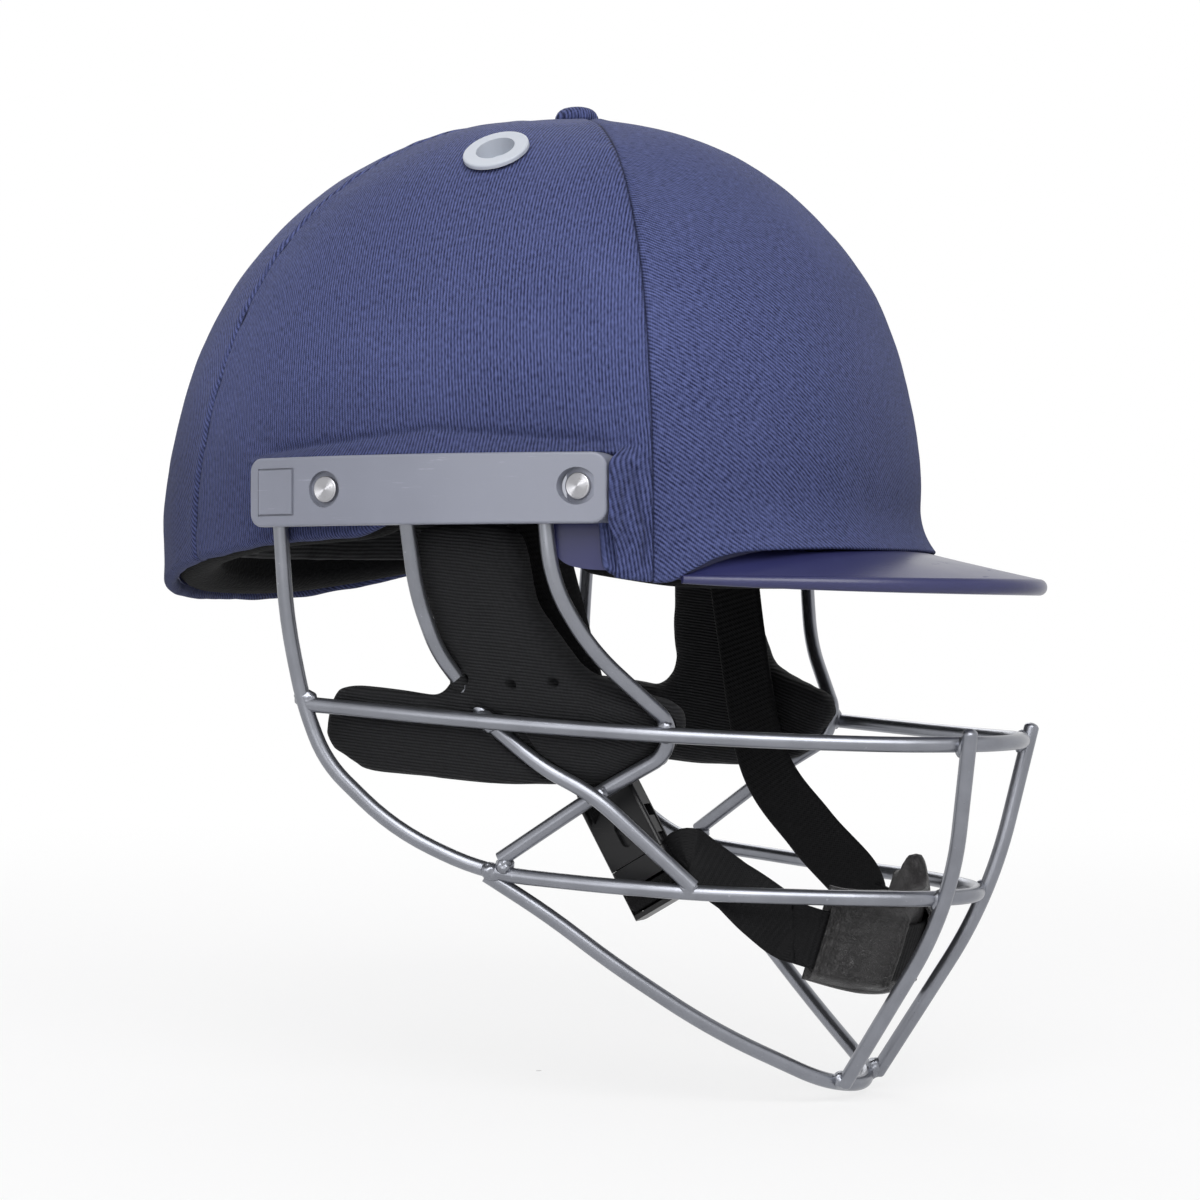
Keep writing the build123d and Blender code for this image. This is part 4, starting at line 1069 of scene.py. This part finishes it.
def web_piece(name, node, stations, body, material, blend_to=None, width=WEB_WIDTH):
    """A woven strap with cross ribs and firm edges."""
    even, across, out, marks = smooth_stations(stations)
    half, thick = width / 2 - 0.15, WEB_THICK / 2 - 0.1
    side = [-1.0, -0.985, -0.94] + [k / 21 for k in range(-18, 19)] + [0.94, 0.985, 1.0]
    loop = [(s, 1) for s in side] + [(s, -1) for s in side[::-1]][1:-1]
    rows = []
    for i, mark in enumerate(marks):
        row = []
        for s, face in loop:
            rib = 0.5 + 0.5 * math.cos(2 * math.pi * mark / WEB_PITCH + (0 if face > 0 else math.pi))
            edge = max(0.0, 1 - (1 - abs(s)) / 0.12)
            height = thick * math.sqrt(max(0.0, 1 - max(0.0, abs(s) - 0.93) ** 2 / 0.0049))
            check = 0.5 + 0.5 * math.cos(2 * math.pi * s * half / WEB_PITCH)
            height += (0.20 * rib + 0.06 * check - 0.12) * (1 - edge)
            height += 0.05 if 0.8 < abs(s) < 0.95 else 0
            row.append(even[i] + across[i] * (s * half) + out[i] * (face * height))
        rows.append(row)
    points = np.array(rows).reshape(-1, 3)
    faces = grid_faces(len(marks), len(loop), closed=True)
    faces += [face[::-1] for face in end_faces(len(marks), len(loop))]
    uv = np.array([(s * half * face + 20 * (1 - face), mark) for mark in marks for s, face in loop])
    piece = new_piece(name, points, faces, None if blend_to else body, material, uv)
    face_outwards(piece)
    if node:
        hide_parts(node)
    if blend_to:
        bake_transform(piece)


def cup_point(degrees, height, radius):
    """A point of the chin cup, from its angle round the chin, its height and its radius."""
    a = math.radians(degrees)
    return CUP_ORIGIN + CUP_X * (radius * math.cos(a)) + Vector((0, radius * math.sin(a), 0)) + CUP_Z * height


def loop_end(side, steps=(5.35, 0.35)):
    """Stations of a web at steps before the end of the loop round the chin."""
    a = math.radians(LOOP_HALF)
    radius = CUP_RADIUS + WEB_THICK / 2
    made = []
    for step in steps:
        x = radius * math.cos(a) - step * math.sin(a)
        y = radius * math.sin(a) + step * math.cos(a)
        made.append((CUP_ORIGIN + CUP_X * x + Vector((0, side * y, 0)), CUP_Z))
    return made


def guard_point(x, y, z, side):
    """A point from its shares of the guard's reach, half width and drop."""
    return Vector((x * REACH, side * y * HALF_GUARD, z * DROP))


class HELMET_OT_strap(bpy.types.Operator):
    """Woven chin strap: two sides, the loop round the chin and the tail from the buckle"""
    bl_idname = "helmet.strap"
    bl_label = "Chin strap"

    def execute(self, context):
        material = webbing("woven_webbing", options("helmet_hardware").web)
        x, y, z = ANCHOR
        mouth = BUCKLE_ORIGIN - BUCKLE_Z * 5
        entry = BUCKLE_ORIGIN + BUCKLE_Z * 5
        web_piece("web_right", "strap_right_upper",
                  [(Vector((x, -y, z)), Vector((1, 0, 0))), (mouth, BUCKLE_X), (entry, BUCKLE_X)],
                  "chin_strap", material)
        bends = [(guard_point(*shares, 1), BUCKLE_X) for shares in LEFT_BENDS]
        web_piece("web_left", "strap_left",
                  [(Vector((x, y, z)), Vector((1, 0, 0)))] + bends + loop_end(1), "chin_strap", material)
        radius = CUP_RADIUS + WEB_THICK / 2
        arc = [(cup_point(d, 0, radius), CUP_Z) for d in np.linspace(-LOOP_HALF, LOOP_HALF, 25)]
        web_piece("web_chin_loop", "strap_chin_loop", arc, "chin_strap", material)
        start = [BUCKLE_ORIGIN + BUCKLE_X * (10.8 + s) + BUCKLE_Z * 33.8 for s in (0, 5)]
        high, low = (guard_point(*shares, -1) for shares in FRONT_BENDS)
        lean = [CUP_Z * math.cos(a) + Vector((0, math.sin(a), 0)) for a in (WEB_TILT, WEB_TILT / 2)]
        bends = [(high + Vector((0, 0, -1.6)), lean[0]), (Vector((103.4, -41.2, -99.6)), lean[1])]
        stations = [(p, -BUCKLE_Z) for p in start] + bends + loop_end(-1, (2.6, 0.35, -1.8))
        web_piece("web_front", "strap_front", stations, "chin_strap", material,
                  ("chin_strap", "plug", tuple(low * MM), tuple(start[1] * MM)))
        self.tail(material)
        return {"FINISHED"}

    def tail(self, material):
        """Folded web round the ladder bar of the plug."""
        end = SOCKET_LENGTH + 0.3 + PLUG_LENGTH
        low, high = end - 8.3, end - 3.1
        path = [(-5.1, low - 4.5), (-5.1, low - 1.2), (-3.6, low), (0, low), (3.7, low), (5.1, low + 1.5),
                (5.15, (low + high) / 2), (5.1, high - 1.5), (3.7, high), (0, high), (-3.6, high),
                (-5.1, high + 1.2), (-5.1, high + 2.6)]
        stations = [(BUCKLE_ORIGIN + Vector((0, -out, 0)) + BUCKLE_Z * z, BUCKLE_X) for out, z in path]
        web_piece("web_tail", None, stations, "plug", material, width=18.6)


def cup_sheet(name, angles, limits, radius, thick, material, seed, crumple):
    """A curved leather layer between two radii, which depend on the angle, the height and the room
    to an edge."""
    shares = np.linspace(0, 1, 46)
    rows = []
    for face in (1, 0):
        for share in (shares if face else shares[::-1]):
            row = []
            for d in angles:
                low, high = limits(d)
                h = low + (high - low) * share
                room = min(h - low, high - h)
                at = radius(d, h, room)
                row.append(tuple(cup_point(d, h, at if face else at - thick(d, room))))
            rows.append(row)
    whole = np.array(rows)
    lift = rough(whole, 9, seed) * crumple + rough(whole, 3.2, seed + 1) * crumple * 0.45
    centre = np.array(CUP_ORIGIN)
    axis = np.array(CUP_Z)
    arm = whole - centre
    arm = arm - axis * np.sum(arm * axis, axis=-1, keepdims=True)
    arm = arm / np.maximum(np.linalg.norm(arm, axis=-1, keepdims=True), 1e-9)
    whole = whole + arm * lift[..., None]
    count = len(angles)
    points = whole.reshape(-1, 3)
    faces = grid_faces(whole.shape[0], count)
    last = (whole.shape[0] - 1) * count
    faces += [(last + c, last + c + 1, c + 1, c) for c in range(count - 1)]
    half = len(shares)
    for c in (0, count - 1):
        for k in range(half - 1):
            back = 2 * half - 1 - k
            quad = (k * count + c, back * count + c, (back - 1) * count + c, (k + 1) * count + c)
            faces.append(quad if c == 0 else quad[::-1])
    piece = new_piece(name, points, faces, "chin_cup", material)
    face_outwards(piece)
    return piece


class HELMET_OT_cup(bpy.types.Operator):
    """Leather chin cup with web keepers and a padded lining"""
    bl_idname = "helmet.cup"
    bl_label = "Chin cup"

    def execute(self, context):
        colour = options("helmet_hardware").leather
        skin = leather("cup_leather_skin", colour)
        soft = leather("cup_leather_lining", tone(colour, 2.2), 0.62)

        def skin_limits(d):
            """The cup is cut shallower below the web and at its ends, with a lip at the far end."""
            ends = float(ramp(abs(d), 25, CUP_HALF))
            lip = 8.2 * bell(d - 45, 11)
            return -15.2 + 0.8 * ends, 20.0 - 2.4 * ends + lip

        def skin_radius(d, h, room):
            edge = min(1.0, (room + 0.01) / 2.2, (CUP_HALF + 0.01 - abs(d)) / 3.5)
            flare = 2.2 * max(0.0, h - 19) / 8
            return CUP_RADIUS - 0.45 - 1.1 * (1 - math.sqrt(max(0.0, 1 - (1 - edge) ** 2))) - flare

        angles = np.linspace(-CUP_HALF, CUP_HALF, 120)
        cover = cup_sheet("cup_skin", angles, skin_limits, skin_radius, lambda d, room: 1.2, skin, 51, 0.12)
        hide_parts("chin_cup_cover")
        keepers = [self.keeper(-1, "right", 17.0, skin), self.keeper(1, "left", 9.0, skin)]

        def lining_radius(d, h, room):
            return CUP_RADIUS - 2.2 - 2.2 * max(0.0, h - 19) / 8

        def lining_thick(d, room):
            edge = max(0.0, min(1.0, room / 6, (CUP_HALF + 0.5 - abs(d)) / 10))
            return 0.8 + 4.4 * math.sqrt(max(0.0, 1 - (1 - edge) ** 2)) - 0.7 * bell(d, 5)

        spread = np.linspace(-CUP_HALF - 0.5, CUP_HALF + 0.5, 110)
        lining = cup_sheet("cup_lining", spread, skin_limits, lining_radius, lining_thick, soft, 71, 0.35)
        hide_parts("chin_cup_lining")
        for piece in [cover, lining] + keepers:
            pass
        return {"FINISHED"}

    def keeper(self, side, name, inner, material):
        """Pocket of leather over the web, sewn down above and below it."""
        outer = 61.0

        def limits(d):
            return -13.4, 15.4

        def radius(d, h, room):
            fall = float(ramp(room, 0, 3.6))
            rolls = (inner + 1.4, inner + 4.2, outer - 1.4, outer - 4.4)
            roll = max(bell(abs(d) - place, 1.1) for place in rolls)
            stitch = bell(room - 4.1, 0.7)
            return CUP_RADIUS + 0.05 + 3.1 * fall ** 0.6 + 0.8 * roll * fall - 0.3 * stitch

        spread = np.linspace(inner, outer, 74) * side
        return cup_sheet(f"cup_keeper_{name}", spread, limits, radius, lambda d, room: 1.3, material,
                         61 + side, 0.36)


# Hard parts

# Wires that are welded where they meet; each SIDE stands for the right-hand pair, then the left-hand one
WELDS = [("top_bar", "middle_bar"), ("cross_wire_SIDE", "top_bar"), ("front_wire_SIDE", "top_bar"),
         ("front_wire_SIDE", "cross_wire_SIDE"), ("cross_wire_SIDE", "middle_bar"),
         ("front_wire_SIDE", "middle_bar"), ("jaw_wire", "middle_bar"), ("upright_SIDE", "top_bar"),
         ("upright_SIDE", "middle_bar"), ("upright_SIDE", "jaw_wire")]


def meeting_places(first, second, limit=0.9, apart=14.0):
    """Places in mm where one wire comes to another, with the way the first one runs there."""
    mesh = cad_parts[first].data
    other = tree_of(second)
    found = []
    for edge in mesh.edges:
        a, b = (mesh.vertices[i].co for i in edge.vertices)
        count = max(1, int((b - a).length / (1.2 * MM)))
        for k in range(count + 1):
            spot = a.lerp(b, k / count)
            near = other.find_nearest(spot, 0.0045)
            if near[0] is not None:
                inside = (spot - near[0]).dot(near[1]) < 0
                away = -near[3] if inside else near[3]
                found.append((away, tuple(spot), tuple(near[0]), tuple((b - a).normalized())))
    found.sort()
    kept = []
    for away, spot, near, run in found:
        if away > limit * MM:
            break
        middle = Vector(spot).lerp(Vector(near), 0.5) / MM
        if all((middle - k[0]).length > apart for k in kept):
            close = [Vector(f[1]) / MM for f in found if f[0] < limit * MM]
            close = [spot for spot in close if (spot - middle).length < 3.4]
            centre = sum(close, Vector()) / max(len(close), 1)
            kept.append((centre, Vector(run)))
    return kept


def bead(name, centre, run, material, seed):
    """A lumpy puddle of weld metal."""
    work = bmesh.new()
    bmesh.ops.create_icosphere(work, subdivisions=4, radius=1.0)
    run = run.normalized() if run.length > 0 else Vector((1, 0, 0))
    turn = run.to_track_quat("X", "Z").to_matrix()
    for v in work.verts:
        lump = 1 + 0.14 * noise.noise(v.co * 1.9 + Vector((seed, 0, 0))) + 0.06 * noise.noise(v.co * 4.5)
        p = v.co * Vector(WELD_SIZE) * lump
        v.co = (turn @ p + centre) * MM
    mesh = bpy.data.meshes.new(name)
    work.to_mesh(mesh)
    work.free()
    mesh.shade_smooth()
    mesh.materials.append(material)
    piece = add_object(name, mesh)
    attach(piece, "helmet")


class HELMET_OT_guard(bpy.types.Operator):
    """Coated wires and their weld beads"""
    bl_idname = "helmet.guard"
    bl_label = "Wire guard"

    def execute(self, context):
        material = coated_wire("slate_coating", options("helmet_hardware").wire)
        wires = [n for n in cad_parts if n.startswith("guard_") and "bracket" not in n]
        paint_nodes(wires, material)
        number = 0
        for pair in WELDS:
            for side in ("right", "left") if "SIDE" in pair[0] else ("",):
                first, second = (f"guard_{wire}".replace("SIDE", side) for wire in pair)
                for centre, run in meeting_places(first, second):
                    number += 1
                    bead(f"weld_{number:02d}", centre, run, material, number * 3.7)
        if number < len(WELDS):
            raise RuntimeError(f"only {number} welds were found")
        for side, name in ((-1, "right"), (1, "left")):
            line = [guard_point(*share, side) for share in UPRIGHT]
            self.wire_end(f"wire_end_{name}_top", line[0], line[0] - line[1], material)
            self.wire_end(f"wire_end_{name}_low", line[2], line[2] - line[1], material)
        return {"FINISHED"}

    def wire_end(self, name, centre, way, material):
        """Rounded end of a cut wire."""
        steps = np.linspace(math.pi / 2, 0, 14)
        profile = [(max(0.02, WIRE_RADIUS * math.cos(t)), 1.7 * math.sin(t)) for t in steps]
        profile.append((WIRE_RADIUS * 0.97, -1.2))
        points, faces = lathe(profile, 48)
        turn = way.to_track_quat("Z", "Y").to_matrix()
        placed = [tuple(turn @ Vector(p) + centre) for p in points]
        new_piece(name, placed, [f[::-1] for f in faces], "helmet", material)


class HELMET_OT_hardware(bpy.types.Operator):
    """Moulded blocks, peak, shell, vents, buckle and fasteners"""
    bl_idname = "helmet.hardware"
    bl_label = "Moulded parts and fasteners"

    def execute(self, context):
        ware = options("helmet_hardware")
        grey, black = (0.50, 0.53, 0.59), (0.008, 0.008, 0.009)
        for names, finish in [
                (["guard_bracket_right", "guard_bracket_left"], ("block_plastic", ware.block, 0.36, 0.6)),
                (["peak"], ("peak_satin", ware.peak, 0.3, 0.2)),
                (["outer_shell"], ("shell_satin", ware.peak, 0.32, 0.2, 0.3)),
                (["vent_eyelet_right", "vent_eyelet_left"], ("vent_grey", grey, 0.45, 0.2)),
                (["buckle_socket", "buckle_plug", "buckle_arm_rear", "buckle_arm_front"],
                 ("buckle_black", black, 0.33, 0.5, 0.35))]:
            paint_nodes(names, moulded(*finish))
        steel = turned_steel("screw_steel")
        paint_nodes(["bracket_screws", "bracket_nuts", "strap_anchor_screw_right", "strap_anchor_screw_left",
                     "strap_anchor_tab_right", "strap_anchor_tab_left"], steel)
        for side in (-1, 1):
            for index, (x, z) in enumerate(SCREWS):
                self.face(x, z, side, steel, f"screw_face_{'right' if side < 0 else 'left'}_{index + 1}")
        return {"FINISHED"}

    def face(self, x, z, side, material, name):
        """Turned face of a screw head with its fine rings."""
        bow = BLOCK_BOW - math.sqrt(BLOCK_BOW ** 2 - (x + 2) ** 2)
        y = HALF_WIDTH + BLOCK_STAND - bow - SCREW_SUNK
        profile = []
        for k in range(64):
            r = 0.05 + 3.6 * k / 63
            profile.append((r, 0.16 + 0.05 * math.cos(2 * math.pi * r / 0.36) - 0.02 * r))
        profile += [(3.75, 0.02), (3.8, -0.3)]
        points, faces = lathe(profile, 64)
        placed = [(x + a, side * (y + h), z + b) for a, b, h in points]
        faces = [f if side > 0 else f[::-1] for f in faces]
        new_piece(name, placed, faces, "helmet", material)


# Stage

class HELMET_OT_camera(bpy.types.Operator):
    """Camera at the photograph's angle"""
    bl_idname = "helmet.camera"
    bl_label = "Camera"

    def execute(self, context):
        stage = options("helmet_stage")
        lens = bpy.data.cameras.new("camera")
        lens.lens = LENS
        lens.sensor_width = FILM
        lens.clip_start = 0.01
        camera = add_object("camera", lens)
        back = Vector((math.sin(stage.azimuth) * math.cos(stage.elevation),
                       -math.cos(stage.azimuth) * math.cos(stage.elevation), math.sin(stage.elevation)))
        camera.location = TARGET + back * stage.distance
        camera.rotation_euler = back.to_track_quat("Z", "Y").to_euler()
        bpy.context.scene.camera = camera
        return {"FINISHED"}


class HELMET_OT_stage(bpy.types.Operator):
    """Pale floor and backdrop, soft lamps and plain view settings"""
    bl_idname = "helmet.stage"
    bl_label = "Stage"

    def execute(self, context):
        stage = options("helmet_stage")
        bpy.context.scene.view_settings.view_transform = "Standard"
        points, faces = lathe([(radius, FLOOR_HEIGHT + rise) for radius, rise in FLOOR], 96)
        floor = new_piece("floor", points, faces, None, stage_white("pale_floor", *FLOOR_GLOW))
        self.lamp("key_lamp", *KEY_LAMP, stage.key)
        self.lamp("fill_lamp", *FILL_LAMP, stage.fill)
        self.lamp("far_lamp", *FAR_LAMP, stage.fill * 1.2)
        world = bpy.data.worlds.new("room")
        bpy.context.scene.world = world
        world.use_nodes = True
        background = world.node_tree.nodes["Background"].inputs
        background["Color"].default_value = (1, 1, 1, 1)
        background["Strength"].default_value = stage.sky
        return {"FINISHED"}

    def lamp(self, name, place, aim, size, power):
        """A square lamp that points at a place."""
        light = bpy.data.lights.new(name, "AREA")
        light.energy = power
        light.size = size
        lamp = add_object(name, light)
        lamp.location = place
        lamp.rotation_euler = (Vector(place) - Vector(aim)).to_track_quat("Z", "Y").to_euler()


PROPERTIES = {"helmet_cloth": HelmetCloth, "helmet_padding": HelmetPadding, "helmet_hardware": HelmetHardware,
              "helmet_stage": HelmetStage}
STEPS = [HELMET_OT_camera, HELMET_OT_stage, HELMET_OT_cover, HELMET_OT_button, HELMET_OT_liner,
         HELMET_OT_pads, HELMET_OT_strap, HELMET_OT_cup, HELMET_OT_guard, HELMET_OT_hardware]


class HELMET_PT_sidebar(bpy.types.Panel):
    """Lists the helmet's sizes, colours and pieces"""
    bl_idname = "HELMET_PT_sidebar"
    bl_label = "Batting helmet"
    bl_space_type = "VIEW_3D"
    bl_region_type = "UI"
    bl_category = "Helmet"

    def draw(self, context):
        for name, group in PROPERTIES.items():
            box = self.layout.box()
            box.label(text=group.__doc__)
            for key in group.__annotations__:
                box.prop(getattr(context.scene, name), key)
        for step in STEPS:
            self.layout.operator(step.bl_idname)


def register():
    for name, group in PROPERTIES.items():
        bpy.utils.register_class(group)
        setattr(bpy.types.Scene, name, bpy.props.PointerProperty(type=group))
    for step in STEPS:
        bpy.utils.register_class(step)
    bpy.utils.register_class(HELMET_PT_sidebar)


def unregister():
    bpy.utils.unregister_class(HELMET_PT_sidebar)
    for step in reversed(STEPS):
        bpy.utils.unregister_class(step)
    for name, group in PROPERTIES.items():
        delattr(bpy.types.Scene, name)
        bpy.utils.unregister_class(group)


def main():
    register()
    for step in STEPS:
        family, action = step.bl_idname.split(".")
        getattr(getattr(bpy.ops, family), action)()


if __name__ == "__main__":
    main()
